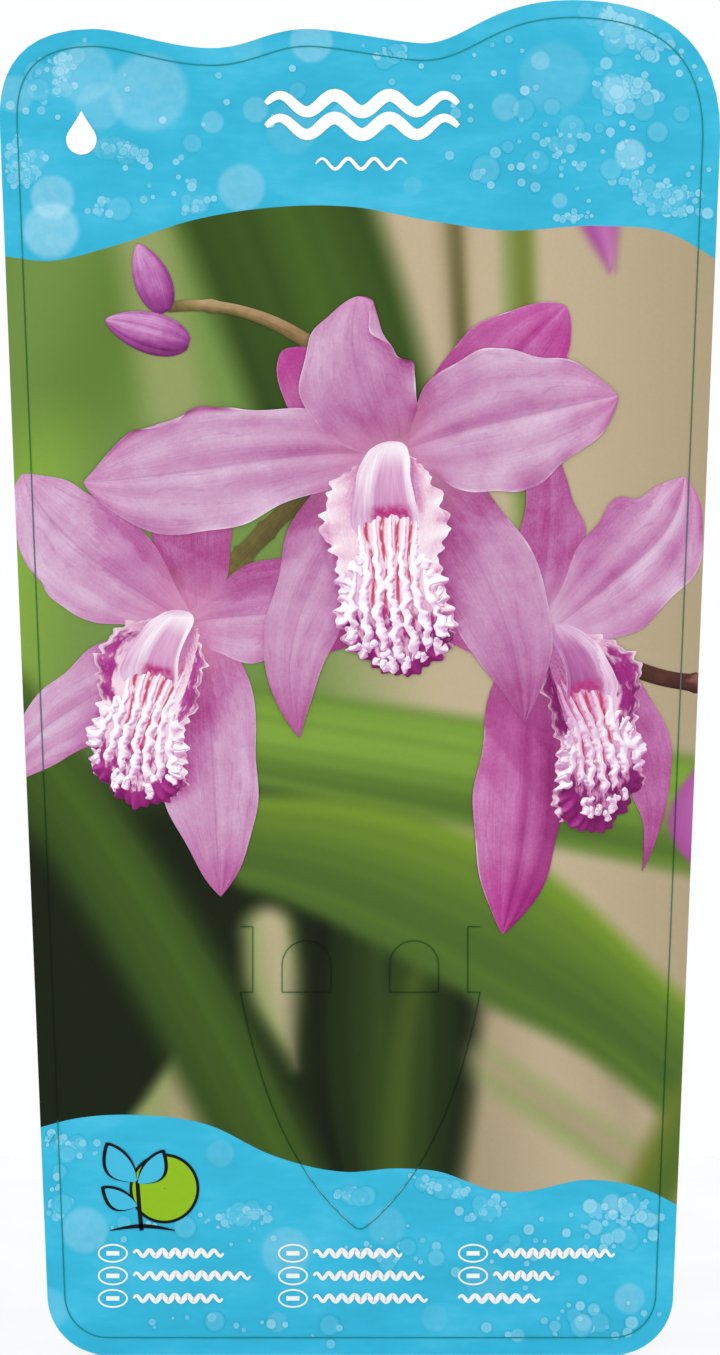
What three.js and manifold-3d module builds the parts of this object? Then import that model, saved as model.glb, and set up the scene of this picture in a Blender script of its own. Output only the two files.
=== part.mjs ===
// A hanging plant label: one sheet of white plastic with a wavy top edge, tapering sides and
// rounded lower corners. An arrow-shaped tongue is die cut in its lower half and stays joined to
// the sheet at the top of its neck. The tongue goes behind the rim of a plant pot, and the sheet
// hangs in front of it. Two arched tabs in the neck press out, which makes the neck easy to bend.
//
// Units are millimetres. +Z is up, +X is to the right of someone who looks at the printed face,
// and the printed face looks along -Y. The origin is on the back face, in the middle of the neck,
// where the rim of the pot bears.
import * as THREE from "three";
import { mergeVertices } from "three/addons/utils/BufferGeometryUtils.js";
import Module from "manifold-3d";

// ---------------------------------------------------------------- driving dimensions

const SHEET_HEIGHT = 155; // lower edge to the highest crest
const SHEET_THICKNESS = 0.5;
const SHOULDER_HEIGHT = 139.6; // where the straight sides meet the rounded upper corners
const SHOULDER_HALF_WIDTH = 41.2; // half of the greatest width
const LOWER_HALF_WIDTH = 35.8; // half of the width at the rounded lower corners
const LOWER_CORNER_RADIUS = 6.9;

const KERF = 0.12; // width of a die cut
const NICK = 0.6; // uncut bridge that holds a press-out tab

const NECK_HALF_WIDTH = 12.3;
const BARB_HALF_WIDTH = 13.7; // the arrow head is wider than its neck
const NECK_TOP = 49.0; // heights above the lower edge
const BARB_HEIGHT = 41.5;
const TONGUE_TIP = 14.4;
const NECK_MIDDLE = (NECK_TOP + BARB_HEIGHT) / 2; // height of the origin

const TAB_OFFSET = 6.15; // from the centre line to the middle of a press-out tab
const TAB_HALF_WIDTH = 2.8; // also the radius of its arch
const TAB_SIDE = 3.1; // straight part of its sides

const CURVE_STEPS = 14; // straight steps in one curve of an outline
const SAME_POINT = 0.01; // points closer than this are one point
const SHEET_COLOUR = 0xf4f5f2;

// ---------------------------------------------------------------- outline of the sheet

// The crests and troughs of the upper edge, from left to right: where each lies, and how far its
// level tangent reaches towards the neighbour on each side.
const WAVE = [
  { x: -30.65, height: 151.7, before: 12.1, after: 3.6 },
  { x: -17.05, height: 149.5, before: 4.8, after: 4.4 },
  { x: -5.95, height: 151.7, before: 4.7, after: 3.3 },
  { x: 7.3, height: 150.05, before: 2.5, after: 4.7 },
  { x: 24.25, height: SHEET_HEIGHT, before: 9.6, after: 9.7 },
];
const LEFT_SHOULDER_REACH = 1.9; // how far the line of each side runs on into its upper corner
const RIGHT_SHOULDER_REACH = 11.4;

/** The points of a closed path, without those that repeat the one before. */
function distinctPoints(path) {
  const points = path.getPoints(CURVE_STEPS);
  return points.filter((point, i) => point.distanceTo(points.at(i - 1)) > SAME_POINT);
}

/** The outer edge of the sheet, counter-clockwise, as x against the height above its lower edge. */
function sheetOutline() {
  const outline = new THREE.Path();
  const first = WAVE[0];
  const last = WAVE[WAVE.length - 1];
  const radius = LOWER_CORNER_RADIUS;
  outline.moveTo(radius - LOWER_HALF_WIDTH, 0);
  outline.lineTo(LOWER_HALF_WIDTH - radius, 0);
  outline.absarc(LOWER_HALF_WIDTH - radius, radius, radius, -Math.PI / 2, 0, false);
  outline.lineTo(SHOULDER_HALF_WIDTH, SHOULDER_HEIGHT);
  outline.bezierCurveTo(
    SHOULDER_HALF_WIDTH, SHOULDER_HEIGHT + RIGHT_SHOULDER_REACH,
    last.x + last.after, last.height,
    last.x, last.height,
  );
  for (let i = WAVE.length - 1; i > 0; i--) {
    const from = WAVE[i];
    const to = WAVE[i - 1];
    outline.bezierCurveTo(from.x - from.before, from.height, to.x + to.after, to.height, to.x, to.height);
  }
  outline.bezierCurveTo(
    first.x - first.before, first.height,
    -SHOULDER_HALF_WIDTH, SHOULDER_HEIGHT + LEFT_SHOULDER_REACH,
    -SHOULDER_HALF_WIDTH, SHOULDER_HEIGHT,
  );
  outline.lineTo(-LOWER_HALF_WIDTH, radius);
  outline.absarc(radius - LOWER_HALF_WIDTH, radius, radius, Math.PI, 1.5 * Math.PI, false);
  return new THREE.Shape(distinctPoints(outline));
}

// ---------------------------------------------------------------- die cuts

/** A closed outline KERF wide along an open route of points, with mitred bends. */
function kerfOutline(route) {
  const last = route.length - 1;
  const heading = (i) => route[i + 1].clone().sub(route[i]).normalize();
  const edge = (sign) =>
    route.map((point, i) => {
      const arriving = heading(Math.max(i - 1, 0));
      const leaving = heading(Math.min(i, last - 1));
      const mitre = arriving.clone().add(leaving).normalize();
      const reach = (sign * KERF) / 2 / mitre.dot(leaving);
      return new THREE.Vector2(point.x - mitre.y * reach, point.y + mitre.x * reach);
    });
  return new THREE.Shape([...edge(-1), ...edge(1).reverse()]);
}

/** The cut round the tongue: a hook at each side of the neck, then the arrow head. */
function tongueCut() {
  const left = new THREE.Path();
  left.moveTo(-BARB_HALF_WIDTH, NECK_TOP);
  left.lineTo(-NECK_HALF_WIDTH, NECK_TOP);
  left.lineTo(-NECK_HALF_WIDTH, BARB_HEIGHT);
  left.lineTo(-BARB_HALF_WIDTH, BARB_HEIGHT);
  left.bezierCurveTo(-11.8, 31.7, -8.5, 21.4, -1.15, TONGUE_TIP + 0.7);
  left.quadraticCurveTo(-0.5, TONGUE_TIP, 0, TONGUE_TIP);
  const route = left.getPoints(CURVE_STEPS);
  const mirrored = route.slice(0, -1).reverse();
  return kerfOutline([...route, ...mirrored.map((point) => new THREE.Vector2(-point.x, point.y))]);
}

/** Half of the cut round a press-out tab, from the nick in its foot to the nick in its arch. */
function tabCut(centre, side) {
  const springing = BARB_HEIGHT + TAB_SIDE;
  const sweep = Math.PI / 2 - NICK / 2 / TAB_HALF_WIDTH;
  const route = [
    new THREE.Vector2(centre + (side * NICK) / 2, BARB_HEIGHT),
    new THREE.Vector2(centre + side * TAB_HALF_WIDTH, BARB_HEIGHT),
  ];
  for (let i = 0; i <= CURVE_STEPS; i++) {
    const angle = (i / CURVE_STEPS) * sweep;
    const x = centre + side * TAB_HALF_WIDTH * Math.cos(angle);
    route.push(new THREE.Vector2(x, springing + TAB_HALF_WIDTH * Math.sin(angle)));
  }
  return kerfOutline(route);
}

// ---------------------------------------------------------------- solids

const wasm = await Module();
wasm.setup();

/** An outline extruded from one depth to another, as a solid that can be cut. */
function plate(outline, from, to) {
  const geometry = new THREE.ExtrudeGeometry(outline, {
    depth: to - from,
    bevelEnabled: false,
    curveSegments: CURVE_STEPS,
  });
  geometry.translate(0, 0, from);
  geometry.deleteAttribute("normal");
  geometry.deleteAttribute("uv");
  const merged = mergeVertices(geometry);
  return new wasm.Manifold(
    new wasm.Mesh({
      numProp: 3,
      vertProperties: merged.attributes.position.array,
      triVerts: new Uint32Array(merged.index.array),
    }),
  );
}

/** A solid's surface as a flat-shaded three.js geometry. */
function geometryOf(solid) {
  const { vertProperties, triVerts } = solid.getMesh();
  const geometry = new THREE.BufferGeometry();
  geometry.setAttribute("position", new THREE.BufferAttribute(vertProperties, 3));
  geometry.setIndex(new THREE.BufferAttribute(triVerts, 1));
  const faceted = geometry.toNonIndexed();
  faceted.computeVertexNormals();
  return faceted;
}

/** The die-cut sheet, upright, with its back face on Y = 0 and its neck at the origin. */
function makeSheet() {
  const cuts = [tongueCut()];
  for (const centre of [-TAB_OFFSET, TAB_OFFSET])
    for (const side of [-1, 1]) cuts.push(tabCut(centre, side));
  let solid = plate(sheetOutline(), 0, SHEET_THICKNESS);
  for (const cut of cuts) solid = solid.subtract(plate(cut, -SHEET_THICKNESS, 2 * SHEET_THICKNESS));
  const material = new THREE.MeshStandardMaterial({ color: SHEET_COLOUR, roughness: 0.42, metalness: 0 });
  const sheet = new THREE.Mesh(geometryOf(solid), material);
  sheet.name = "label_sheet";
  sheet.rotation.x = Math.PI / 2; // stands the plate up, and turns its upper face towards -Y
  sheet.position.z = -NECK_MIDDLE;
  return sheet;
}

const label = new THREE.Group();
label.name = "hanging_plant_label";
label.add(makeSheet());

export default label;
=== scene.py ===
"""Dresses a hanging plant label: a die-cut sheet of white plastic with a picture printed on its front.

The sheet itself comes from the frame and gets its plastic and its printed bands of water. Every
other ink is a film within a quarter of a millimetre of the front face: the garden, the orchids,
which are surfaces in space that are pressed flat, the small bubbles, the white marks, the badge and
the printer's hairlines.

Places on the label are in millimetres: x to the right and z up from the frame's origin, and depth
towards whoever looks at the printed face.
"""

import logging
import math
from dataclasses import dataclass, replace
from enum import Enum
from functools import cache, partial, reduce
from typing import ClassVar, Sequence

import bpy
import numpy as np
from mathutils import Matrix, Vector


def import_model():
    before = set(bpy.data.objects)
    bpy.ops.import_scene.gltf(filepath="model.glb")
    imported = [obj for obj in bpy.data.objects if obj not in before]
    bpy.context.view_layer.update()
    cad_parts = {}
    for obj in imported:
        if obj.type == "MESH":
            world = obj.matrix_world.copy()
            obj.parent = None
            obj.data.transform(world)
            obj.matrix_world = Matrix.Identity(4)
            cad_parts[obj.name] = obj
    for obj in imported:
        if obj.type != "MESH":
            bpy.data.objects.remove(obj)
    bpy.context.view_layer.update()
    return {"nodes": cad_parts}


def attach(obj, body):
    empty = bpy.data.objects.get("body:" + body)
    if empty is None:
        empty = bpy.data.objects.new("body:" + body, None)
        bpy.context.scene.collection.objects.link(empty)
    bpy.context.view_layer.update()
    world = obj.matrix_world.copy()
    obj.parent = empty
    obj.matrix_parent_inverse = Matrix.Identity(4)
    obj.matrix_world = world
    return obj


LOG = logging.getLogger("plant_label")

MM = 0.001
LEAST_FACE = 1e-6  # square millimetres; a smaller face of a film is dropped
SHEET_NODE = "label_sheet"
BODY = "root"

Array = np.ndarray
Material = bpy.types.Material
Socket = bpy.types.NodeSocket
Pair = tuple[float, float]
Point = tuple[float, float, float]
Row = tuple[float, ...]
Table = tuple[Row, ...]
Knots = Sequence[Pair]
Tones = Sequence[tuple[float, str]]


# ---- inks and plastics


class Ink(str, Enum):
    """The colours of the label, as printed."""

    PLASTIC = "f4f5f2"
    WATER = "31b7d9"
    WATER_DEEP = "2db0d1"
    WATER_LIGHT = "46c0e1"
    BUBBLE = "a4dcf0"
    WHITE = "fbfdfd"
    BLACK = "101312"
    BADGE_GREEN = "93c120"
    PETAL = "c48fb8"
    SAND = "c1b090"
    SAND_SHADE = "ab9b7b"
    LEAF_LIGHT = "739147"
    LEAF_PALE = "939f62"
    LEAF_FRESH = "84a940"
    LEAF_LEAN = "76962d"
    LEAF_MID = "5a792d"
    LEAF_SHADE = "4f6c29"
    LEAF_DEEP = "456220"
    LEAF_DARK = "33491a"
    LEAF_NIGHT = "151f0b"
    OLIVE = "6c782c"
    MOSS = "47591f"
    TWIG = "635c33"
    FAR_FLOWER = "c274b0"
    FAR_FLOWER_DEEP = "a04792"

    @property
    def srgb(self) -> Array:
        """Red, green and blue from 0 to 1, as a screen shows them."""
        return np.array([int(self[i : i + 2], 16) for i in (0, 2, 4)]) / 255.0


def linear(colour: Array | str) -> Array:
    """Turns a screen colour into linear light, by the usual screen curve.

    Args:
        colour: a six-digit hex code, or an array whose last axis is red, green and blue.

    Returns:
        The same colour in linear light.
    """
    if isinstance(colour, str):
        colour = np.array([int(colour[i : i + 2], 16) for i in (0, 2, 4)]) / 255.0
    low = colour / 12.92
    high = ((np.maximum(colour, 0.04045) + 0.055) / 1.055) ** 2.4
    return np.where(colour <= 0.04045, low, high)


class InkGraph:
    """Builds the node tree of one material, with a call for each usual kind of node."""

    def __init__(self, name: str) -> None:
        """Starts an empty material with its output and its one shader.

        Args:
            name: of the material.
        """
        self.material = bpy.data.materials.new(name)
        self.material.use_nodes = True
        self.tree = self.material.node_tree
        self.tree.nodes.clear()
        self.shader = self.add("ShaderNodeBsdfPrincipled")
        self.add("ShaderNodeOutputMaterial", {"Surface": self.shader.outputs["BSDF"]})

    def add(self, kind: str, feeds: dict | None = None, **settings: object) -> bpy.types.Node:
        """Adds a node.

        Args:
            kind: of node.
            feeds: what goes into its inputs, by their names or numbers.
            settings: its properties.

        Returns:
            The node.
        """
        node = self.tree.nodes.new(kind)
        for name, value in settings.items():
            setattr(node, name, value)
        for name, value in (feeds or {}).items():
            self.feed(node.inputs[name], value)
        return node

    def feed(self, socket: Socket, value: object) -> None:
        """Links a socket into an input, or sets the input.

        Args:
            socket: the input.
            value: a socket, a number, a vector or a colour.
        """
        if isinstance(value, Socket):
            self.tree.links.new(value, socket)
        elif isinstance(value, str):
            socket.default_value = (*linear(value), 1.0)
        else:
            socket.default_value = value

    def place(self) -> Socket:
        """The point on the label in millimetres, from Object coordinates."""
        point = self.add("ShaderNodeTexCoord").outputs["Object"]
        return self.add("ShaderNodeVectorMath", {0: point, "Scale": 1 / MM}, operation="SCALE").outputs[0]

    def attribute(self, name: str, output: str = "Fac") -> Socket:
        """A named attribute of the piece."""
        return self.add("ShaderNodeAttribute", attribute_name=name).outputs[output]

    def axes(self, vector: Socket) -> tuple[Socket, Socket, Socket]:
        """The three numbers of a vector."""
        return tuple(self.add("ShaderNodeSeparateXYZ", {0: vector}).outputs)

    def vector(self, x: object, y: object, z: object = 0.0) -> Socket:
        """A vector of three numbers."""
        return self.add("ShaderNodeCombineXYZ", {0: x, 1: y, 2: z}).outputs[0]

    def math(self, operation: str, a: object, b: object = 0.0) -> Socket:
        """One arithmetic step on two numbers."""
        return self.add("ShaderNodeMath", {0: a, 1: b}, operation=operation).outputs[0]

    def times(self, a: object, b: object) -> Socket:
        """The product of two numbers."""
        return self.math("MULTIPLY", a, b)

    def total(self, *parts: object) -> Socket:
        """The sum of several numbers."""
        return reduce(partial(self.math, "ADD"), parts)

    def ease(self, value: object, low: float, high: float, to: tuple = (0.0, 1.0)) -> Socket:
        """Moves smoothly from one number to another.

        Args:
            value: what steers it.
            low: value at which it sets out, which may be above high.
            high: value at which it has arrived.
            to: the two numbers.

        Returns:
            The number.
        """
        if low > high:
            low, high, to = high, low, to[::-1]
        feeds = {"Value": value, "From Min": low, "From Max": high, "To Min": to[0], "To Max": to[1]}
        return self.add("ShaderNodeMapRange", feeds, interpolation_type="SMOOTHSTEP").outputs["Result"]

    def mix(self, share: object, a: object, b: object, blend: str = "MIX") -> Socket:
        """Mixes two colours."""
        feeds = {0: share, 6: a, 7: b}
        return self.add("ShaderNodeMix", feeds, data_type="RGBA", blend_type=blend).outputs[2]

    def toned(self, colour: object, tone: Socket) -> Socket:
        """A colour whose red, green and blue are multiplied by one number."""
        return self.mix(1.0, colour, self.vector(tone, tone, tone), "MULTIPLY")

    def ramp(self, value: object, stops: Tones) -> Socket:
        """Looks a number up in a row of colours.

        Args:
            value: the number.
            stops: places from 0 to 1, each with its colour.

        Returns:
            The colour.
        """
        node = self.add("ShaderNodeValToRGB", {0: value})
        elements = node.color_ramp.elements
        for index, (place, colour) in enumerate(stops):
            element = elements[index] if index < 2 else elements.new(place)
            element.position = place
            element.color = (*linear(colour), 1.0)
        return node.outputs[0]

    def noise(self, vector: object, scale: float, detail: float = 2.0) -> Socket:
        """Soft cloudy noise, whose grains are about one over scale long."""
        feeds = {"Vector": vector, "Scale": scale, "Detail": detail}
        return self.add("ShaderNodeTexNoise", feeds).outputs["Fac"]

    def stretched(self, a: object, b: object, scales: Pair, detail: float = 2.0) -> Socket:
        """Noise over two numbers, with its own scale for each."""
        return self.noise(self.vector(self.times(a, scales[0]), self.times(b, scales[1])), 1.0, detail)

    def finish(self, colour: object, roughness: object = 0.45, specular: float = 0.1,
               bump: Socket | None = None, depth: float = 0.02) -> Material:
        """Gives the shader its colour, its gloss and its fine relief.

        Args:
            colour: base colour.
            roughness: of the surface's gloss.
            specular: strength of the gloss.
            bump: height of the fine relief, from 0 to 1.
            depth: what a bump of 1 stands for, in millimetres.

        Returns:
            The finished material.
        """
        self.feed(self.shader.inputs["Base Color"], colour)
        self.feed(self.shader.inputs["Roughness"], roughness)
        self.shader.inputs["Specular IOR Level"].default_value = specular
        if bump is not None:
            relief = self.add("ShaderNodeBump", {"Distance": depth * MM, "Height": bump})
            self.feed(self.shader.inputs["Normal"], relief.outputs[0])
        return self.material


@dataclass(frozen=True)
class WaterPrint:
    """White plastic whose front is printed with blue water, with large soft discs of light in it.

    Small bubbles come on a film of the same print, whose attribute "glow" says how light it is.
    """

    name: str
    bokeh: Table  # x, z, radius and strength of each disc
    blur: Pair = (1.09, 0.82)  # where a disc's edge starts and ends, in radii
    painted_light_low: float = 1.075  # painted light: the water is made lighter towards the lower edge, to offset the shade near the floor
    grain: float = 9.0  # grains of the plastic in a millimetre

    def material(self) -> Material:
        """Prints what faces the front, and leaves plain plastic elsewhere.

        Returns:
            The material.
        """
        graph = InkGraph(self.name)
        place = graph.place()
        x, _, z = graph.axes(place)
        fine = graph.ease(graph.stretched(x, z, (0.35, 1.1), 3.0), 0.25, 0.75, (-0.06, 0.06))
        streaks = graph.total(graph.stretched(x, z, (0.08, 0.18), 4.0), fine)
        water = graph.ramp(streaks, [(0.3, Ink.WATER_DEEP), (0.5, Ink.WATER), (0.72, Ink.WATER_LIGHT)])
        # painted light: the water lightens towards the lower edge to offset the shade near the floor
        water = graph.toned(water, graph.ease(z, 20.0, -45.0, (1.0, self.painted_light_low)))
        glow = graph.attribute("glow")
        mottle = graph.ease(graph.noise(place, 1.1, 3.0), 0.3, 0.7, (0.72, 1.0))
        flat = graph.vector(x, z)
        for disc_x, disc_z, radius, strength in self.bokeh:
            ends = {0: flat, 1: (disc_x, disc_z, 0.0)}
            away = graph.add("ShaderNodeVectorMath", ends, operation="DISTANCE").outputs["Value"]
            disc = graph.ease(away, radius * self.blur[0], radius * self.blur[1], (0.0, strength))
            glow = graph.total(glow, graph.times(disc, mottle))
        water = graph.mix(graph.math("MINIMUM", glow, 0.9), water, Ink.BUBBLE)
        facing = graph.axes(graph.add("ShaderNodeTexCoord").outputs["Normal"])[1]
        printed = graph.math("LESS_THAN", facing, -0.5)
        plastic = graph.ramp(graph.noise(place, 0.09, 3.0), [(0.3, "f0f1ee"), (0.7, Ink.PLASTIC)])
        grain = graph.noise(place, self.grain, 2.0)
        gloss = graph.ease(grain, 0.3, 0.7, (0.38, 0.5))
        return graph.finish(graph.mix(printed, plastic, water), gloss, 0.2, bump=grain, depth=0.012)


@dataclass(frozen=True)
class PetalInk:
    """Petals: a row of tones from shade to light, with fine veins, a soft grain and a pale rim."""

    name: str = "petal_ink"
    tones: Tones = (
        (0.0, "7e2560"), (0.2, "aa548e"), (0.38, "ba77a6"), (0.52, "c58cb6"), (0.66, "cea1c2"),
        (0.82, "dcbad5"), (1.0, "f1e3ee"),
    )
    deep: Tones = (
        (0.0, "6c1052"), (0.25, "9e2b79"), (0.45, "b43f8e"), (0.65, "c463a7"), (0.85, "d695c4"),
        (1.0, "edcbe2"),
    )
    back: str = "cf9fc4"  # tone of the reverse
    throat: str = "e2a3bf"
    rim: str = "eedae9"
    vein: str = "a34d90"
    vein_strength: float = 0.42
    lift: float = 0.0  # added to the shade

    def material(self) -> Material:
        """Builds the ink.

        Returns:
            Its material.
        """
        graph = InkGraph(self.name)
        shade, along, across = (graph.attribute(name) for name in ("shade", "along", "across"))
        side = graph.math("ABSOLUTE", across)
        place = graph.place()
        shade = graph.total(
            shade,
            self.lift,
            graph.ease(graph.noise(place, 0.30, 3.0), 0.3, 0.7, (-0.05, 0.05)),
            graph.ease(graph.noise(place, 3.4, 3.0), 0.25, 0.75, (-0.035, 0.035)),
            graph.ease(graph.stretched(along, across, (3.0, 30.0), 3.0), 0.25, 0.75, (-0.04, 0.04)),
        )
        colour = graph.ramp(shade, self.tones)
        colour = graph.mix(graph.times(graph.attribute("reverse"), 0.5), colour, self.back)
        colour = graph.mix(graph.ease(along, 0.34, 0.0, (0.0, 0.55)), colour, self.throat)
        deep = graph.total(graph.attribute("tint"), graph.ease(along, 0.70, 1.0, (0.0, 0.45)))
        colour = graph.mix(graph.math("MINIMUM", deep, 1.0), colour, graph.ramp(shade, self.deep))
        bend = graph.ease(graph.stretched(along, across, (5.0, 4.0), 3.0), 0.2, 0.8, (-2.6, 2.6))
        wave = graph.math("SINE", graph.total(graph.times(across, 24.0), bend))
        lines = graph.ease(wave, 0.72, 1.0, (0.0, self.vein_strength))
        lines = graph.times(lines, graph.ease(graph.noise(place, 0.5, 2.0), 0.35, 0.65))
        lines = graph.times(lines, graph.ease(along, 0.1, 0.75, (0.45, 1.0)))
        colour = graph.mix(lines, colour, graph.mix(0.6, colour, self.vein))
        middle = graph.ease(side, 0.045, 0.0, (0.0, self.vein_strength * 0.7))
        colour = graph.mix(middle, colour, self.vein)
        edge = graph.times(graph.ease(side, 0.955, 0.995, (0.0, 0.85)), graph.ease(shade, 0.3, 0.7))
        edge = graph.times(edge, graph.ease(graph.noise(place, 0.28, 2.0), 0.42, 0.62, (0.15, 1.0)))
        return graph.finish(graph.mix(edge, colour, self.rim))


@dataclass(frozen=True)
class LipInk:
    """The frilled lip: white inside, with red lines in its throat and purple in its margin."""

    name: str = "lip_ink"
    pale: Tones = (
        (0.0, "a2508a"), (0.18, "cc84b1"), (0.36, "e6b6d2"), (0.54, "f3d6e4"), (0.74, "faecf3"),
        (1.0, "ffffff"),
    )
    deep: Tones = ((0.0, "6a1553"), (0.3, "902272"), (0.55, "ac388c"), (0.8, "c462a6"), (1.0, "e0a4cc"))
    outside: Tones = ((0.0, "9e4a88"), (0.25, "bf78ac"), (0.5, "daaecf"), (1.0, "f6eaf3"))

    def material(self) -> Material:
        """Builds the ink.

        Returns:
            Its material.
        """
        graph = InkGraph(self.name)
        shade, along, across = (graph.attribute(name) for name in ("shade", "along", "across"))
        fibre = graph.ease(graph.stretched(along, across, (5.0, 26.0)), 0.25, 0.75, (-0.05, 0.05))
        grain = graph.ease(graph.noise(graph.place(), 3.4, 3.0), 0.25, 0.75, (-0.05, 0.05))
        shade = graph.total(shade, fibre, grain)
        pale = graph.ramp(shade, self.pale)
        deep = graph.ramp(shade, self.deep)
        blotch = graph.stretched(along, across, (18.0, 9.0), 3.0)
        patch = graph.total(graph.attribute("tint"), graph.ease(blotch, 0.3, 0.7, (-0.25, 0.25)))
        colour = graph.mix(graph.ease(patch, 0.34, 0.74), pale, deep)
        dash = graph.stretched(along, across, (15.0, 14.0), 2.0)
        red = graph.times(graph.attribute("blush"), graph.ease(dash, 0.36, 0.52))
        colour = graph.mix(red, colour, "c62c5e")
        colour = graph.mix(graph.attribute("reverse"), colour, graph.ramp(shade, self.outside))
        ragged = graph.ease(blotch, 0.3, 0.7, (-0.10, 0.05))
        rim = graph.ease(graph.total(graph.math("ABSOLUTE", across), ragged), 0.86, 1.0, (0.0, 0.75))
        light = graph.ramp(graph.total(shade, 0.22), self.pale)
        return graph.finish(graph.mix(rim, colour, light))


@dataclass(frozen=True)
class CrestInk:
    """The wavy crests on the lip: white, with sides that run down into rose."""

    name: str = "crest_ink"
    white: Tones = ((0.0, "c17fb2"), (0.22, "e0b6d7"), (0.40, "f4e2f0"), (0.56, "fdf8fc"), (1.0, "ffffff"))

    def material(self) -> Material:
        """Builds the ink.

        Returns:
            Its material.
        """
        graph = InkGraph(self.name)
        side = graph.math("ABSOLUTE", graph.attribute("across"))
        crest = graph.ramp(graph.attribute("shade"), self.white)
        foot = graph.mix(graph.attribute("tint"), "d9668f", "ae3a8c")
        ragged = graph.ease(graph.noise(graph.place(), 1.6, 2.0), 0.3, 0.7, (-0.35, 0.25))
        low = graph.ease(graph.total(side, ragged), 0.74, 1.15, (0.0, 0.62))
        return graph.finish(graph.mix(low, crest, foot))


@dataclass(frozen=True)
class HoodInk:
    """The column: white wings, a pink hollow, and deep magenta at the hollow's end."""

    name: str = "hood_ink"
    wings: Tones = ((0.0, "a75c9b"), (0.25, "d29cc6"), (0.45, "ecd0e4"), (0.62, "faf0f7"), (1.0, "ffffff"))
    hollow: Tones = ((0.0, "8c3a7b"), (0.3, "b66aa2"), (0.52, "cf90bd"), (0.75, "e3b4d3"), (1.0, "f7dfed"))

    def material(self) -> Material:
        """Builds the ink.

        Returns:
            Its material.
        """
        graph = InkGraph(self.name)
        fibre = graph.stretched(graph.attribute("along"), graph.attribute("across"), (3.0, 14.0))
        shade = graph.total(graph.attribute("shade"), graph.ease(fibre, 0.3, 0.7, (-0.06, 0.06)))
        wings, hollow = graph.ramp(shade, self.wings), graph.ramp(shade, self.hollow)
        colour = graph.mix(graph.attribute("tint"), wings, hollow)
        stain = graph.ease(graph.noise(graph.place(), 1.8, 2.0), 0.35, 0.6, (0.45, 1.0))
        return graph.finish(graph.mix(graph.times(graph.attribute("blush"), stain), colour, "b8347c"))


@dataclass(frozen=True)
class ShadedInk:
    """Any smooth part of the picture that only runs through tones by its shade."""

    name: str
    tones: Tones
    tip_tones: Tones | None = None  # where the attribute "tint" is 1

    def material(self) -> Material:
        """Builds the ink.

        Returns:
            Its material.
        """
        graph = InkGraph(self.name)
        cloud = graph.noise(graph.place(), 0.9, 3.0)
        fibre = graph.stretched(graph.attribute("along"), graph.attribute("across"), (3.0, 20.0))
        shade = graph.total(
            graph.attribute("shade"),
            graph.ease(cloud, 0.3, 0.7, (-0.05, 0.05)),
            graph.ease(fibre, 0.3, 0.7, (-0.05, 0.05)),
        )
        colour = graph.ramp(shade, self.tones)
        if self.tip_tones:
            colour = graph.mix(graph.attribute("tint"), colour, graph.ramp(shade, self.tip_tones))
        return graph.finish(colour)


@dataclass(frozen=True)
class TonedInk:
    """A soft print whose colours come with its mesh."""

    name: str

    def material(self) -> Material:
        """Builds the ink.

        Returns:
            Its material.
        """
        graph = InkGraph(self.name)
        tone = graph.ease(graph.noise(graph.place(), 2.6, 2.0), 0.25, 0.75, (0.985, 1.015))
        return graph.finish(graph.toned(graph.attribute("ink", "Color"), tone))


@dataclass(frozen=True)
class MarkInk:
    """An even ink for marks and lines, very slightly uneven as screen printing is."""

    name: str
    colour: Ink

    def material(self) -> Material:
        """Builds the ink.

        Returns:
            Its material.
        """
        graph = InkGraph(self.name)
        tone = graph.ease(graph.noise(graph.place(), 1.4, 2.0), 0.3, 0.7, (0.985, 1.0))
        return graph.finish(graph.toned(self.colour, tone), roughness=0.36)


# ---- curves and grids


def ease(value: Array, low: float, high: float) -> Array:
    """Goes smoothly from 0 to 1 while value goes from low to high, by 3tt - 2ttt."""
    t = np.clip((value - low) / (high - low), 0.0, 1.0)
    return t * t * (3 - 2 * t)


def flowing(value: Array, knots: Knots) -> Array:
    """A smooth curve through knots: cubic Hermite pieces with each slope taken from both neighbours.

    Args:
        value: where to read the curve.
        knots: pairs of place and height, in rising order of place.

    Returns:
        The heights.
    """
    x, y = np.array(knots, float).T
    slope = np.gradient(y, x)
    value = np.clip(value, x[0], x[-1])
    i = np.clip(np.searchsorted(x, value, side="right") - 1, 0, len(x) - 2)
    span = x[i + 1] - x[i]
    t = (value - x[i]) / span
    rise = (2 * t**3 - 3 * t**2 + 1) * y[i] + (3 * t**2 - 2 * t**3) * y[i + 1]
    lean = (t**3 - 2 * t**2 + t) * slope[i] + (t**3 - t**2) * slope[i + 1]
    return rise + lean * span


def spread(value: Array, values: Sequence[float]) -> Array:
    """A smooth curve through values that stand at even distances from 0 to 1."""
    return flowing(value, list(zip(np.linspace(0.0, 1.0, len(values)), values)))


def bezier(points: Sequence[Sequence[float]], steps: int) -> Array:
    """Points along a Bezier curve of any degree, by repeated mixing of neighbours.

    Args:
        points: its control points.
        steps: how many points to return.

    Returns:
        The points, in rows.
    """
    t = np.linspace(0.0, 1.0, steps)[:, None, None]
    rows = np.broadcast_to(np.array(points, float), (steps, len(points), len(points[0])))
    while rows.shape[1] > 1:
        rows = rows[:, :-1] * (1 - t) + rows[:, 1:] * t
    return rows[:, 0]


def evenly(path: Array, step: float) -> Array:
    """Walks along a path of straight stretches.

    Args:
        path: its corners, in rows.
        step: about how far apart the points are.

    Returns:
        The points, in rows.
    """
    reach = np.concatenate([[0.0], np.cumsum(np.linalg.norm(np.diff(path, axis=0), axis=1))])
    at = np.linspace(0.0, reach[-1], max(2, int(round(reach[-1] / step)) + 1))
    return np.stack([np.interp(at, reach, path[:, k]) for k in range(path.shape[1])], axis=1)


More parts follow.
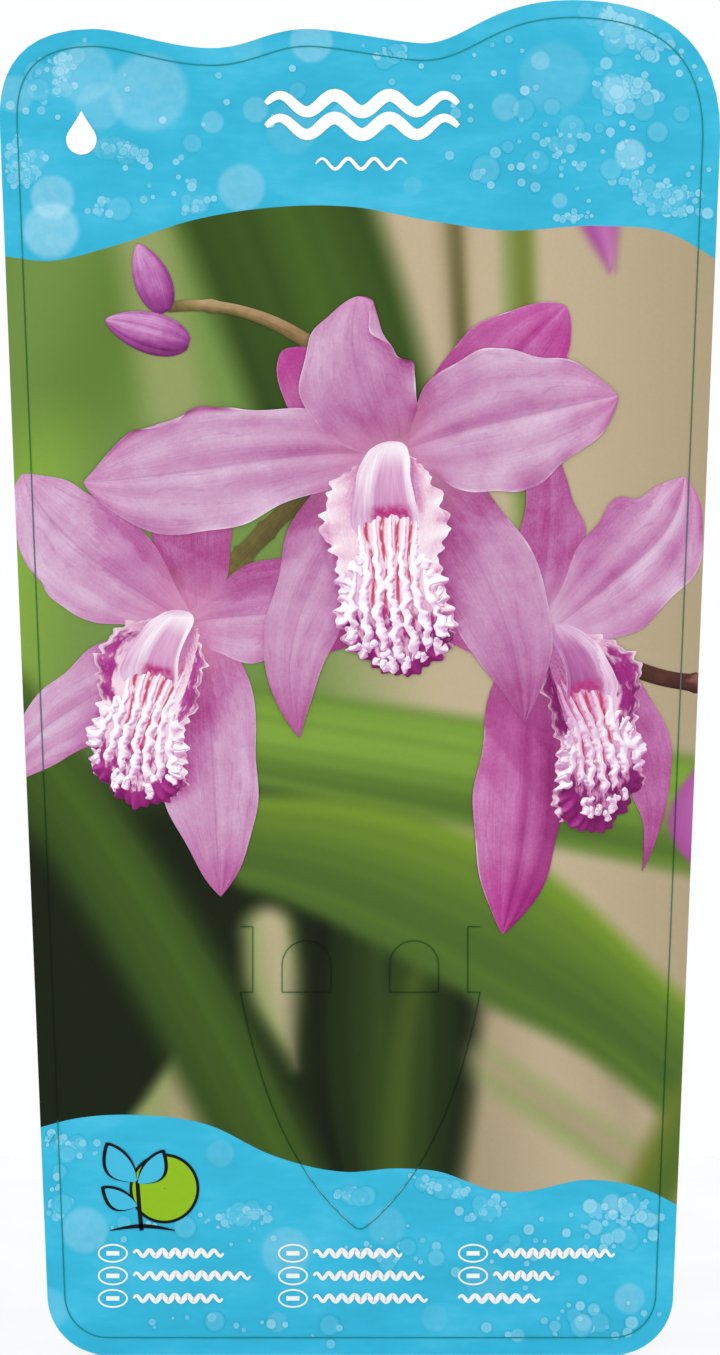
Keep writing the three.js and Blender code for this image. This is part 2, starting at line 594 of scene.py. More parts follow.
def unit(vectors: Array) -> Array:
    """The same directions with a length of one."""
    return vectors / np.maximum(np.linalg.norm(vectors, axis=-1, keepdims=True), 1e-9)


def slanted(place: Sequence[float], angle: float, along: Array, over: Array) -> Array:
    """Lays places out along a slanting line.

    Args:
        place: where the line starts: x and z.
        angle: its degrees above the right.
        along: how far along it each place is.
        over: how far to the left of it.

    Returns:
        The places, with x and z last.
    """
    c, s = math.cos(math.radians(angle)), math.sin(math.radians(angle))
    return np.stack([place[0] + along * c - over * s, place[1] + along * s + over * c], axis=-1)


def turned(yaw: float, pitch: float, roll: float) -> Array:
    """The matrix that turns a flower: pitch about x, then yaw about the upright, then roll.

    Args:
        yaw: degrees by which it looks to the right.
        pitch: degrees by which it looks up.
        roll: degrees by which it leans to the left.

    Returns:
        A matrix for columns of x, z and depth.
    """
    a, b, c = (math.radians(v) for v in (yaw, -pitch, roll))
    about_x = np.array([[1, 0, 0], [0, math.cos(b), -math.sin(b)], [0, math.sin(b), math.cos(b)]])
    about_z = np.array([[math.cos(a), 0, math.sin(a)], [0, 1, 0], [-math.sin(a), 0, math.cos(a)]])
    in_plane = np.array([[math.cos(c), -math.sin(c), 0], [math.sin(c), math.cos(c), 0], [0, 0, 1]])
    return in_plane @ about_z @ about_x


@dataclass
class Grid:
    """A surface on a grid of rows along it and columns across it, with what its ink reads."""

    points: Array  # rows, columns, then x, z and depth
    along: Array
    across: Array
    tint: Array | None = None
    blush: Array | None = None
    shade: Array | None = None
    reverse: Array | None = None

    def moved(self, matrix: Array, place: Sequence[float]) -> "Grid":
        """The same surface, turned by a matrix and then shifted."""
        return replace(self, points=self.points @ matrix.T + np.array(place, float))

    def normals(self) -> Array:
        """Unit normals, from the cross product of the steps along and across."""
        return unit(np.cross(np.gradient(self.points, axis=0), np.gradient(self.points, axis=1)))


@dataclass
class Piece:
    """One printed film: a name, its surfaces and the finish of its ink."""

    name: str
    grids: list[Grid]
    ink: object


def unit_grid(rows: int, columns: int, low: float = -1.0) -> tuple[Array, Array]:
    """Two arrays that run from 0 to 1 along the rows and from low to 1 across the columns."""
    return np.meshgrid(np.linspace(0.0, 1.0, rows), np.linspace(low, 1.0, columns), indexing="ij")


# ---- the sheet from the frame


@dataclass
class Sheet:
    """The plastic sheet: its front face, its outline and the edges of the two printed bands."""

    node: bpy.types.Object
    tongue: Table = ((-14.5, 14.5), (-32.0, 4.5))  # what lies in this box is a cut, not the outline
    stride: float = 0.4  # from point to point of an inset line

    UPPER_WAVE: ClassVar[Knots] = (
        (-41.2, 80.5), (-35.5, 79.9), (-28.6, 81.5), (-19.4, 84.5), (-10.3, 86.0), (-1.1, 86.1),
        (8.0, 84.5), (16.0, 83.4), (27.5, 83.9), (35.5, 83.0), (41.2, 79.8),
    )
    LOWER_WAVE: ClassVar[Knots] = (
        (-37.7, -19.5), (-32.6, -18.2), (-25.2, -17.8), (-17.2, -19.0), (-10.3, -22.3), (-1.7, -24.3),
        (4.2, -23.9), (8.6, -24.2), (15.4, -26.4), (17.7, -26.6), (26.5, -25.2), (32.6, -26.3), (37.7, -28.9),
    )

    def __post_init__(self) -> None:
        """Reads the outline off the node's mesh: the middle of the sheet sees every point of it."""
        points = np.empty(len(self.node.data.vertices) * 3, np.float32)
        self.node.data.vertices.foreach_get("co", points)
        points = points.reshape(-1, 3) / MM
        self.front = -float(points[:, 1].min())
        flat = np.unique(np.round(points[:, [0, 2]], 3), axis=0)
        (left, right), (low, high) = self.tongue
        x, z = flat.T
        flat = flat[~((x > left) & (x < right) & (z > low) & (z < high))]
        self.middle = (flat.min(0) + flat.max(0)) / 2
        x, z = (flat - self.middle).T
        self.outline = flat[np.argsort(np.arctan2(z, x))]

    def sides(self, z: Array) -> tuple[Array, Array]:
        """The edges of the sheet at heights where its sides are straight.

        Args:
            z: the heights.

        Returns:
            The x of the left and of the right edge.
        """
        edges = []
        for half in (self.outline[:, 0] < self.middle[0], self.outline[:, 0] >= self.middle[0]):
            side = self.outline[half]
            side = side[np.argsort(side[:, 1])]
            edges.append(np.interp(z, side[:, 1], side[:, 0]))
        return edges[0], edges[1]

    def loop(self, step: float) -> Array:
        """The outline as points about a step apart, with none twice."""
        return evenly(np.vstack([self.outline, self.outline[:1]]), step)[:-1]

    def inset(self, distance: float) -> Array:
        """A closed line that runs a fixed distance inside the outline, smoothed three times.

        Args:
            distance: from the outline.

        Returns:
            Its points, the first one again at the end.
        """
        loop = self.loop(self.stride)
        heading = unit(np.roll(loop, -1, axis=0) - np.roll(loop, 1, axis=0))
        inner = loop + distance * np.stack([-heading[:, 1], heading[:, 0]], axis=1)
        for _ in range(3):
            inner = (np.roll(inner, -1, axis=0) + 2 * inner + np.roll(inner, 1, axis=0)) / 4
        return np.vstack([inner, inner[:1]])

    def holds(self, x: Array, z: Array, margin: Array) -> Array:
        """Whether places lie inside the outline, by the crossings of a ray to the right.

        Args:
            x: of the places.
            z: of the places.
            margin: how far from the outline they have to be.

        Returns:
            Yes or no for each place.
        """
        a = self.loop(0.3)
        b = np.roll(a, -1, axis=0)
        x, z = x[..., None], z[..., None]
        crosses = (a[:, 1] > z) != (b[:, 1] > z)
        slope = (b[:, 0] - a[:, 0]) / np.where(b[:, 1] == a[:, 1], 1e9, b[:, 1] - a[:, 1])
        inside = (crosses & (x < a[:, 0] + (z - a[:, 1]) * slope)).sum(-1) % 2 == 1
        near = np.hypot(x - a[:, 0], z - a[:, 1]).min(-1)
        return inside & (near > margin)


# ---- from space to the flat print


@dataclass
class Relief:
    """The picture's surfaces in space: lights them, and presses them flat on the sheet.

    The films keep the order that the surfaces have in space, because each depth is only scaled down.
    """

    sheet: Sheet
    press: float = 1 / 400.0  # millimetres of film for a millimetre of depth
    gap: float = 0.012  # from the sheet to the first film
    sink: float = 8.0  # width of the strip at either side in which the films sink towards the sheet
    sunk: float = 0.2  # share of their depth that is left at its edge
    cell: float = 0.25  # of the map of heights that casts the shadows
    reaches: Row = (0.8, 1.4, 2.3, 3.8, 6.0, 9.5)  # how far off the map is read
    directions: int = 14
    lamp: Point = (-0.45, 0.66, 0.60)  # the way to it: x, z and depth
    lamp_tilt: float = 46.0  # degrees above the picture, for the cast shadows
    penumbra: Pair = (24.0, 16.0)  # degrees below and above it
    wrap: float = 0.30  # how far its light reaches round a surface
    lamp_share: float = 0.62
    sky_share: float = 0.26
    shadow: float = 0.75  # share of the lamp that a cast shadow takes
    hollow: float = 0.4  # share of all light that a closed place loses

    FAR: ClassVar[float] = -60.0  # depth that is pressed onto the sheet itself
    MARKS: ClassVar[float] = -36.0  # depth over which marks are printed, above every bubble
    LOW: ClassVar = np.array([-42.0, -46.0])  # corners of the map
    HIGH: ClassVar = np.array([42.0, 111.0])

    def __post_init__(self) -> None:
        """Starts with an empty map of heights over the whole sheet."""
        size = np.ceil((self.HIGH - self.LOW) / self.cell).astype(int)
        self.heights = np.full(tuple(size), self.FAR)
        self.pieces: list[Piece] = []

    def add(self, piece: Piece) -> None:
        """Takes a piece in, and marks it on the map of heights.

        Args:
            piece: the piece.
        """
        self.pieces.append(piece)
        for grid in piece.grids:
            fine = self._between(grid.points, 3)
            cell = self._cells(fine[..., 0], fine[..., 1])
            np.maximum.at(self.heights, cell, fine[..., 2])

    @staticmethod
    def _between(points: Array, times: int) -> Array:
        """Adds straight in-between points along both axes of a grid.

        Args:
            points: the grid, with what it holds as its last axis.
            times: how many steps one step becomes.

        Returns:
            The finer grid.
        """
        for axis in (0, 1):
            count = points.shape[axis]
            at = np.linspace(0, count - 1, (count - 1) * times + 1)
            low = np.minimum(at.astype(int), count - 2)
            share = (at - low).reshape([-1 if k == axis else 1 for k in range(3)])
            points = np.take(points, low, axis) * (1 - share) + np.take(points, low + 1, axis) * share
        return points

    def _cells(self, x: Array, z: Array) -> tuple[Array, Array]:
        """The cells of the map that hold these places."""
        cells = (((v - low) / self.cell).astype(int) for v, low in zip((x, z), self.LOW))
        return tuple(np.clip(cell, 0, size - 1) for cell, size in zip(cells, self.heights.shape))

    def top(self, x: Array, z: Array, around: float) -> Array:
        """The foremost surface at some places or close around them.

        Args:
            x: of the places.
            z: of the places.
            around: how far from a place its eight neighbours are.

        Returns:
            The depth of that surface at each place.
        """
        best = self.heights[self._cells(x, z)]
        for turn in np.arange(8) * math.tau / 8:
            near = self.heights[self._cells(x + around * math.cos(turn), z + around * math.sin(turn))]
            best = np.maximum(best, near)
        return best

    def light(self, grid: Grid) -> None:
        """Works out how light each point is, and whether it shows its reverse.

        The shade is a soft lamp from the upper left plus the sky. In each of several directions the
        horizon is the steepest rise to the map of heights. Its mean dims the sky, and where it
        stands above the lamp, the lamp is in shadow.

        Args:
            grid: the surface, which is given its shade.
        """
        normal = grid.normals()
        facing = np.where(normal[..., 2:3] < 0, -1.0, 1.0)
        grid.reverse = (facing[..., 0] < 0).astype(float)
        normal = normal * facing
        x, z, depth = np.moveaxis(grid.points, -1, 0)
        closed, hidden, weights = np.zeros_like(x), np.zeros_like(x), 0.0
        lamp_turn = math.atan2(self.lamp[1], self.lamp[0])
        for turn in math.tau * np.arange(self.directions) / self.directions:
            horizon = np.zeros_like(x)
            for reach in self.reaches:
                cells = self._cells(x + reach * math.cos(turn), z + reach * math.sin(turn))
                horizon = np.maximum(horizon, np.arctan2(self.heights[cells] - depth - 0.3, reach))
            closed += np.sin(horizon) / self.directions
            weight = max(0.0, math.cos(turn - lamp_turn)) ** 3
            low, high = self.lamp_tilt - self.penumbra[0], self.lamp_tilt + self.penumbra[1]
            hidden += weight * ease(np.degrees(horizon), low, high)
            weights += weight
        facing_lamp = normal @ unit(np.array(self.lamp))
        lamp = self.lamp_share * np.clip((facing_lamp + self.wrap) / (1 + self.wrap), 0.0, 1.0)
        sky = self.sky_share * (0.62 + 0.38 * normal[..., 1])
        value = lamp * (1 - self.shadow * hidden / weights) + sky * (1 - closed)
        grid.shade = np.clip(value * (1 - self.hollow * closed), 0.0, 1.0)

    def film(self, points: Array) -> Array:
        """Presses points in space onto the front of the sheet, in metres in the frame."""
        depth = self.sheet.front + self.gap + (points[..., 2] - self.FAR) * self.press
        return np.stack([points[..., 0], -depth, points[..., 1]], axis=-1) * MM

    def trimmed(self, points: Array) -> tuple[Array, Array]:
        """Cuts the picture at the sides of the sheet and at the two bands.

        Args:
            points: in space.

        Returns:
            The points moved onto the edge where they lay past it, and which of them lay past it.
        """
        x, z, depth = np.moveaxis(points, -1, 0)
        left, right = self.sheet.sides(z)
        low, high = flowing(x, Sheet.LOWER_WAVE), flowing(x, Sheet.UPPER_WAVE)
        past = (x < left) | (x > right) | (z < low) | (z > high)
        inwards = ease(np.minimum(x - left, right - x), 0, self.sink)
        depth = self.FAR + (depth - self.FAR) * (self.sunk + (1 - self.sunk) * inwards)
        return np.stack([np.clip(x, left, right), np.clip(z, low, high), depth], axis=-1), past

    def build(self) -> None:
        """Lights the pieces, and makes one object of all the grids of each."""
        names = ("shade", "reverse", "along", "across", "tint", "blush")
        for piece in self.pieces:
            sheets, values = [], {name: [] for name in names}
            for grid in piece.grids:
                self.light(grid)
                points, past = self.trimmed(grid.points)
                sheets.append((self.film(points), ~cells_of(past).all(-1)))
                for name in names:
                    value = getattr(grid, name)
                    values[name].append((np.zeros(past.shape) if value is None else value).ravel())
            print_film(piece.name, sheets, piece.ink, {k: np.concatenate(v) for k, v in values.items()})


def cells_of(index: Array) -> Array:
    """The four corners of each cell of a grid, from the numbers of its points."""
    return np.stack([index[:-1, :-1], index[1:, :-1], index[1:, 1:], index[:-1, 1:]], axis=-1)


def shown(name: str, data: bpy.types.ID) -> bpy.types.Object:
    """Adds an object to the scene.

    Args:
        name: its name.
        data: its mesh, lamp or camera.

    Returns:
        The object.
    """
    thing = bpy.data.objects.new(name, data)
    bpy.context.scene.collection.objects.link(thing)
    return thing


def print_film(name: str, sheets: Sequence[tuple[Array, Array | None]], ink: object,
               values: dict[str, Array] | None = None) -> None:
    """Makes one mesh object of several grids, without the points that no face uses.

    Each cell is cut into two triangles, and each is turned so that it looks to the front. The
    film lies flat, so every point is shaded as the front of the sheet is.

    Args:
        name: of the object and its mesh.
        sheets: for each grid its points in metres, and which of its cells to keep or None for all.
        ink: the finish whose material it gets.
        values: attributes with a number, or a row of four for a colour, for each point.
    """
    places, faces, start = [], [], 0
    for points, kept in sheets:
        index = np.arange(points[..., 0].size).reshape(points.shape[:2]) + start
        halves = cells_of(index)[..., [[0, 1, 2], [0, 2, 3]]]
        faces.append((halves if kept is None else halves[kept]).reshape(-1, 3))
        places.append(points.reshape(-1, 3))
        start += index.size
    points, faces = np.concatenate(places), np.concatenate(faces)
    first, second = (points[faces[:, k]] - points[faces[:, 0]] for k in (1, 2))
    away = first[:, 2] * second[:, 0] - first[:, 0] * second[:, 2]
    faces = np.where(away[:, None] > 0, faces[:, ::-1], faces)[np.abs(away) > LEAST_FACE * MM * MM]
    used, packed = np.unique(faces, return_inverse=True)
    packed = packed.reshape(faces.shape)
    mesh = bpy.data.meshes.new(name)
    mesh.vertices.add(len(used))
    mesh.vertices.foreach_set("co", points[used].astype(np.float32).ravel())
    mesh.loops.add(packed.size)
    mesh.loops.foreach_set("vertex_index", packed.astype(np.int32).ravel())
    mesh.polygons.add(len(packed))
    mesh.polygons.foreach_set("loop_start", np.arange(0, packed.size, 3, dtype=np.int32))
    mesh.update(calc_edges=True)
    for key, value in (values or {}).items():
        kind, slot = ("FLOAT_COLOR", "color") if value.ndim == 2 else ("FLOAT", "value")
        attribute = mesh.attributes.new(key, kind, "POINT")
        attribute.data.foreach_set(slot, value[used].astype(np.float32).ravel())
    mesh.validate()
    mesh.normals_split_custom_set_from_vertices(np.tile((0.0, -1.0, 0.0), (len(mesh.vertices), 1)))
    mesh.materials.append(material_of(ink))
    thing = shown(name, mesh)
    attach(thing, BODY)
    LOG.info("%s: %d faces", name, len(mesh.polygons))


@cache
def material_of(ink: object) -> Material:
    """The material of a finish, made once."""
    return ink.material()


# ---- petals


@dataclass(frozen=True)
class Blade:
    """A petal, as a surface of two parameters: u runs from its foot to its tip, v across it.

    Its middle line starts at the flower's centre, heads off at an angle in the picture, and rises
    towards the viewer by its lift. Each cross-section sets out from the middle line, and its
    direction turns evenly up to the cup at the edge, less a hem that rolls back near the edge.
    Every row of numbers is spread evenly from foot to tip.
    """

    angle: float  # degrees in the picture, 0 to the right and 90 up
    length: float
    half_width: float
    lift: Row = (25.0, -15.0)
    turn: Row = (0.0, 0.0)  # degrees added to the angle on the way
    cup: Row = (35.0, 10.0)
    roll: Row = (0.0, 0.0)  # degrees about the middle line
    hem: float = 30.0
    waves: float = 1.6  # of the hem, from foot to tip
    widest: float = 0.5
    foot: float = 0.04
    point: float = 0.66  # 0.5 is a round tip, and 1 a straight taper
    ragged: float = 0.05
    swell: float = 1.0
    fold: Row = (0.0, 0.0, 0.1, 0.1)  # side, middle, half-length and depth of a fold
    start: Point = (0.0, 0.0, 0.0)
    tint: float = 0.0
    seed: int = 1

    MESH: ClassVar = (96, 49)  # rows from foot to tip, and columns
    NODES: ClassVar = np.polynomial.legendre.leggauss(10)
    EDGE: ClassVar[Knots] = ((math.tau * 1.3, 1.0), (math.tau * 3.3, 0.5))  # its waves and their heights
    EDGE_POWER: ClassVar[int] = 3  # how closely they keep to the edge

    def phases(self) -> Array:
        """Eight random angles of its own."""
        return np.random.default_rng(self.seed).uniform(0, math.tau, 8)

    def width(self, u: Array) -> Array:
        """Half its width: a power of the way from the foot times a power of the way to the tip.

        Args:
            u: from foot to tip.

        Returns:
            Half the width.
        """
        rise = self.point * (self.widest + self.foot) / (1 - self.widest)
        shape = (u + self.foot) ** rise * np.maximum(1 - u, 0.0) ** self.point
        most = (self.widest + self.foot) ** rise * (1 - self.widest) ** self.point
        return self.half_width * shape / most

    def outline(self, u: Array, v: Array) -> Array:
        """Half its width with the unevenness of either edge: waves that differ from side to side.

        Args:
            u: from foot to tip.
            v: across it.

        Returns:
            Half the width.
        """
        phase = self.phases()
        side = np.where(v > 0, phase[0], phase[1])
        waves = enumerate(self.EDGE, start=1)
        uneven = sum(height * np.sin(wave * u + number * side) for number, (wave, height) in waves)
        return self.width(u) * (1 + self.ragged * np.abs(v) ** self.EDGE_POWER * uneven)

    def bend(self, u: Array, v: Array) -> Array:
        """Direction of the cross-section.

        It is the cup times v, less the waving hem, plus most of a half turn where the margin folds over.

        Args:
            u: from foot to tip.
            v: across it.

        Returns:
            The direction in radians.
        """
        phase = self.phases()
        side = np.where(v > 0, phase[2], phase[3])
        wave = 0.45 + 0.55 * np.sin(math.tau * self.waves * u + side)
        wave = wave + 0.25 * np.sin(math.tau * 2.7 * self.waves * u + 3 * side)
        edge = ease(np.abs(v), 0.55, 1.0) * np.sign(v) * np.sin(np.pi * np.clip(u, 0, 1)) ** 0.5
        folded, middle, reach, depth = self.fold
        away = np.abs(u - middle) / reach + 0.12 * np.sin(31 * u + phase[1])
        near = 1 - ease(away, 0.0, 1.0)
        over = ease(np.abs(v), 1 - 1.25 * depth, 1 - 0.25 * depth) * (v * folded > 0) * near
        turn = np.radians(175.0) * over * (0.92 + 0.12 * np.sin(37 * u + phase[0]))
        hem = np.radians(self.hem) * wave * edge
        return np.radians(spread(u, self.cup)) * v - hem + turn * np.sign(v)

    def relief(self, u: Array, v: Array) -> Array:
        """Soft swellings, lengthwise folds and a groove along the middle.

        Args:
            u: from foot to tip.
            v: across it.

        Returns:
            Heights in millimetres.
        """
        phase = self.phases()
        inner = np.sin(np.pi * np.clip(u, 0, 1)) ** 0.7
        lumps = 0.26 * np.sin(6 * u + phase[4]) * np.sin(3.2 * v + phase[5])
        lumps = lumps + 0.10 * np.sin(15 * u + phase[6]) * np.sin(6 * v + phase[7])
        folds = -0.14 * np.cos(v * 11 + np.sin(3 * u + phase[7])) * (1 - v * v)
        groove = -0.22 * np.exp(-((v / 0.10) ** 2))
        return inner * self.swell * self.half_width / 6 * (lumps + folds + groove)

    def spine(self, u: Array) -> tuple[Array, Array, Array]:
        """The middle line, from its headings added up.

        Args:
            u: from foot to tip.

        Returns:
            Its points, its direction to the side, and its normal towards the viewer.
        """
        steps = np.linspace(0.0, 1.0, 160)
        angle = np.radians(self.angle + spread(steps, self.turn))
        lift = np.radians(spread(steps, self.lift))
        flat = np.cos(lift)
        heading = np.stack([flat * np.cos(angle), flat * np.sin(angle), np.sin(lift)], axis=-1)
        strides = (heading[1:] + heading[:-1]) / 2 * self.length / (len(steps) - 1)
        line = np.vstack([np.zeros(3), np.cumsum(strides, axis=0)]) + np.array(self.start)
        level = np.stack([-np.sin(angle), np.cos(angle), np.zeros_like(angle)], axis=-1)
        upright = np.cross(heading, level)
        roll = np.radians(spread(steps, self.roll))[:, None]
        side = level * np.cos(roll) + upright * np.sin(roll)
        normal = upright * np.cos(roll) - level * np.sin(roll)
        return tuple(
            np.stack([np.interp(u, steps, values[:, k]) for k in range(3)], axis=-1)
            for values in (line, side, normal)
        )

    def at(self, u: Array, v: Array, above: Array | float = 0.0) -> Array:
        """Points of the surface, or of one that lies above it.

        The cross-section is the integral of its direction from the middle line to v, by Gauss's rule.

        Args:
            u: from foot to tip.
            v: across it.
            above: the distance from the surface.

        Returns:
            The points.
        """
        line, side, normal = self.spine(u)
        reach = self.outline(u, v) * v
        nodes, weights = self.NODES
        directions = [(weight / 2, self.bend(u, v * (node + 1) / 2)) for node, weight in zip(nodes, weights)]
        across = (reach * sum(w * np.cos(d) for w, d in directions))[..., None]
        out = (reach * sum(w * np.sin(d) for w, d in directions))[..., None]
        bend = self.bend(u, v)[..., None]
        upright = normal * np.cos(bend) - side * np.sin(bend)
        raised = (self.relief(u, v) + above)[..., None]
        return line + side * across + normal * out + upright * raised

    def grid(self) -> Grid:
        """The surface, with closer rows near its tip.

        Returns:
            The surface.
        """
        u, v = unit_grid(*self.MESH)
        u = np.sin(u * math.pi / 2) ** 1.15
        return Grid(self.at(u, v), u, v, np.full_like(u, self.tint))


@dataclass(frozen=True)
class Lip(Blade):
    """The flower's lip: a trough with raised side lobes that opens into a frilled middle lobe."""

    start: Point = (0.0, -0.4, 0.0)
    ragged: float = 1.0
    margin: float = 0.78  # where the purple of the side lobes starts, as a share of half the width
    apron: float = 0.74  # where the purple of the middle lobe starts, as a share of the way to its rim

    MESH: ClassVar = (190, 121)
    WIDTHS: ClassVar[Knots] = (
        (0.0, 0.8), (0.06, 3.4), (0.14, 6.4), (0.24, 8.4), (0.34, 8.8), (0.42, 7.9), (0.48, 6.9), (0.54, 6.6),
        (0.62, 7.0), (0.74, 7.4), (0.84, 7.2), (0.91, 6.2), (0.96, 4.6), (0.985, 3.0), (1.0, 1.2),
    )
    CUPS: ClassVar[Knots] = (
        (0.0, 64.0), (0.15, 84.0), (0.32, 72.0), (0.44, 46.0), (0.56, 22.0), (0.7, 6.0), (0.86, -12.0),
        (1.0, -38.0),
    )
    EDGE: ClassVar[Knots] = ((37.0, 0.03), (101.0, 0.035), (157.0, 0.03))
    EDGE_POWER: ClassVar[int] = 6
    CENTRE: ClassVar[float] = 0.70  # of the middle lobe
    FRILLS: ClassVar[int] = 11
    KEEL_STEP: ClassVar[float] = 0.225  # from keel to keel, as a share of half the width

    def width(self, u: Array) -> Array:
        """Half its width, from its own knots."""
        return flowing(u, self.WIDTHS) * self.half_width / 7.0

    def bend(self, u: Array, v: Array) -> Array:
        """Direction of the cross-section: its own cup, less a hem that flares on the side lobes.

        Args:
            u: from foot to tip.
            v: across it.

        Returns:
            The direction in radians.
        """
        phase = self.phases()
        side = np.where(v > 0, phase[2], phase[3])
        lobes = ease(u, 0.10, 0.30) * (1 - 0.55 * ease(u, 0.42, 0.56))
        wave = 0.9 + 0.30 * np.sin(27 * u + side) + 0.22 * np.sin(67 * u + 2 * side)
        edge = ease(np.abs(v), 0.60, 0.95) * np.sign(v)
        return np.radians(flowing(u, self.CUPS)) * v - np.radians(60.0) * wave * edge * lobes

    def lobe(self, u: Array, v: Array) -> tuple[Array, Array]:
        """The place in the middle lobe in polar form.

        Args:
            u: from foot to tip.
            v: across it.

        Returns:
            The distance from its centre, which is 1 at its rim, and the angle.
        """
        up = (u - self.CENTRE) / (1 - self.CENTRE)
        over = v * self.width(u) / self.half_width
        return np.hypot(up, over), np.arctan2(over, up)

    def relief(self, u: Array, v: Array) -> Array:
        """Pleats that fan out over the middle lobe, and fine waves near the edge of the side lobes.

        Args:
            u: from foot to tip.
            v: across it.

        Returns:
            Heights in millimetres.
        """
        phase = self.phases()
        out, turn = self.lobe(u, v)
        front = ease(u, 0.46, 0.60)
        pleats = 0.30 * ease(out, 0.5, 1.0) * np.sin(self.FRILLS * turn + 0.9 * np.sin(3 * turn + phase[4]))
        pleats = pleats + 0.30 * ease(out, 0.7, 1.0) * np.sin(2.7 * self.FRILLS * turn + phase[5])
        lobes = 0.20 * np.abs(v) ** 3 * np.sin(61 * u + phase[6])
        lobes = lobes + 0.12 * np.sin(8 * v + phase[7]) * np.sin(9 * u)
        return front * pleats + (1 - front) * lobes * ease(u, 0.08, 0.3)

    def grid(self) -> Grid:
        """The surface, with a tint where it is purple and a blush where red lines run.

        Returns:
            The surface.
        """
        u, v = unit_grid(*self.MESH)
        u = np.sin(u * math.pi / 2)
        out, turn = self.lobe(u, v)
        front = ease(u, 0.46, 0.60)
        side_rim = ease(np.abs(v), self.margin, self.margin + 0.24) * (1 - front) * ease(u, 0.10, 0.26) * 0.8
        apron = ease(out, self.apron, self.apron + 0.16) * front * ease(np.cos(turn), -0.1, 0.45)
        between = 0.56 * ease(u, 0.56, 0.72) * (1 - ease(np.abs(v), 0.7, 0.9))
        tint = np.clip(side_rim + apron + between, 0.0, 1.0)
        lines = ease(-np.cos(v * math.tau / self.KEEL_STEP + 0.5 * np.sin(u * 21)), 0.2, 0.95)
        lines = lines * (1 - ease(np.abs(v), 0.36, 0.46))
        blush = lines * ease(u, 0.20, 0.30) * (1 - ease(u, 0.62, 0.80)) * 0.95
        return Grid(self.at(u, v), u, v, tint, blush)

    def crest(self, route: Array, width: float, height: float, seed: int, calm: float = 0.0) -> Grid:
        """A ridge along a route over the lip, that wavers ever more towards its end.

        Its middle wanders off the route by two waves, either side of it is uneven by its own five
        waves, and its cross-section is flat on top and falls off by the fourth power of the way out.

        Args:
            route: rows of u and v.
            width: half its width at the end, in millimetres.
            height: of its crest, in millimetres.
            seed: for its waves.
            calm: share of its length that stays narrow and straight.

        Returns:
            The ridge.
        """
        random = np.random.default_rng(seed)
        phase = random.uniform(0, math.tau, 7)
        length = float(np.hypot(*(np.ptp(route, axis=0) * (self.length, self.half_width))))
        rows = max(16, int(length / 0.08))
        way = np.linalg.norm(np.diff(route, axis=0), axis=1).sum()
        route = evenly(route, max(1e-4, way / (rows - 1)))
        s, t = unit_grid(len(route), 15)
        u, v = np.broadcast_to(route[:, :1], s.shape), np.broadcast_to(route[:, 1:], s.shape)
        far = s * length
        grown = ease(s, 0.4 * calm, calm + 0.25) if calm else ease(s, -0.6, 0.6)
        wander = grown * (0.20 * np.sin(0.9 * far + phase[0]) + 0.13 * np.sin(3.1 * far + phase[1]))
        side = np.where(t > 0, phase[2], phase[3])
        sizes = ((1.1, 0.22), (2.3, 0.22), (3.9, 0.15), (6.4, 0.10), (9.8, 0.07))  # wave and height
        teeth = sum(
            random.uniform(0.6, 1.3) * size * np.sin(random.uniform(0.85, 1.15) * wave * far + wave * side)
            for wave, size in sizes
        )
        half = width * (0.40 + 0.60 * grown) * (1 + grown * teeth)
        taper = ease(s, 0.0, 0.08) * (1 - ease(s, 0.92, 1.0))
        off = wander + half * (0.15 + 0.85 * taper) * t
        lengthwise = np.gradient(route[:, 0]) * self.length
        sidewise = np.gradient(route[:, 1]) * self.width(route[:, 0])
        heading = unit(np.stack([lengthwise, sidewise], axis=1))
        u = np.clip(u - off * heading[:, 1:] / self.length, 0.0, 1.0)
        v = v + off * heading[:, :1] / np.maximum(self.width(u), 0.5)
        crest = height * (0.4 + 0.6 * grown) * (1 + 0.15 * grown * np.sin(2.9 * far + phase[4]))
        rise = crest * (1 - t**4) * taper
        return Grid(self.at(u, v, rise + 0.05), s, t, ease(u, 0.50, 0.72))

    def lobe_place(self, out: Array, turn: float) -> tuple[Array, Array]:
        """The u and v of places in the middle lobe, from their distance and angle."""
        u = self.CENTRE + (1 - self.CENTRE) * out * math.cos(turn)
        return u, out * math.sin(turn) * self.half_width / np.maximum(self.width(u), 0.5)

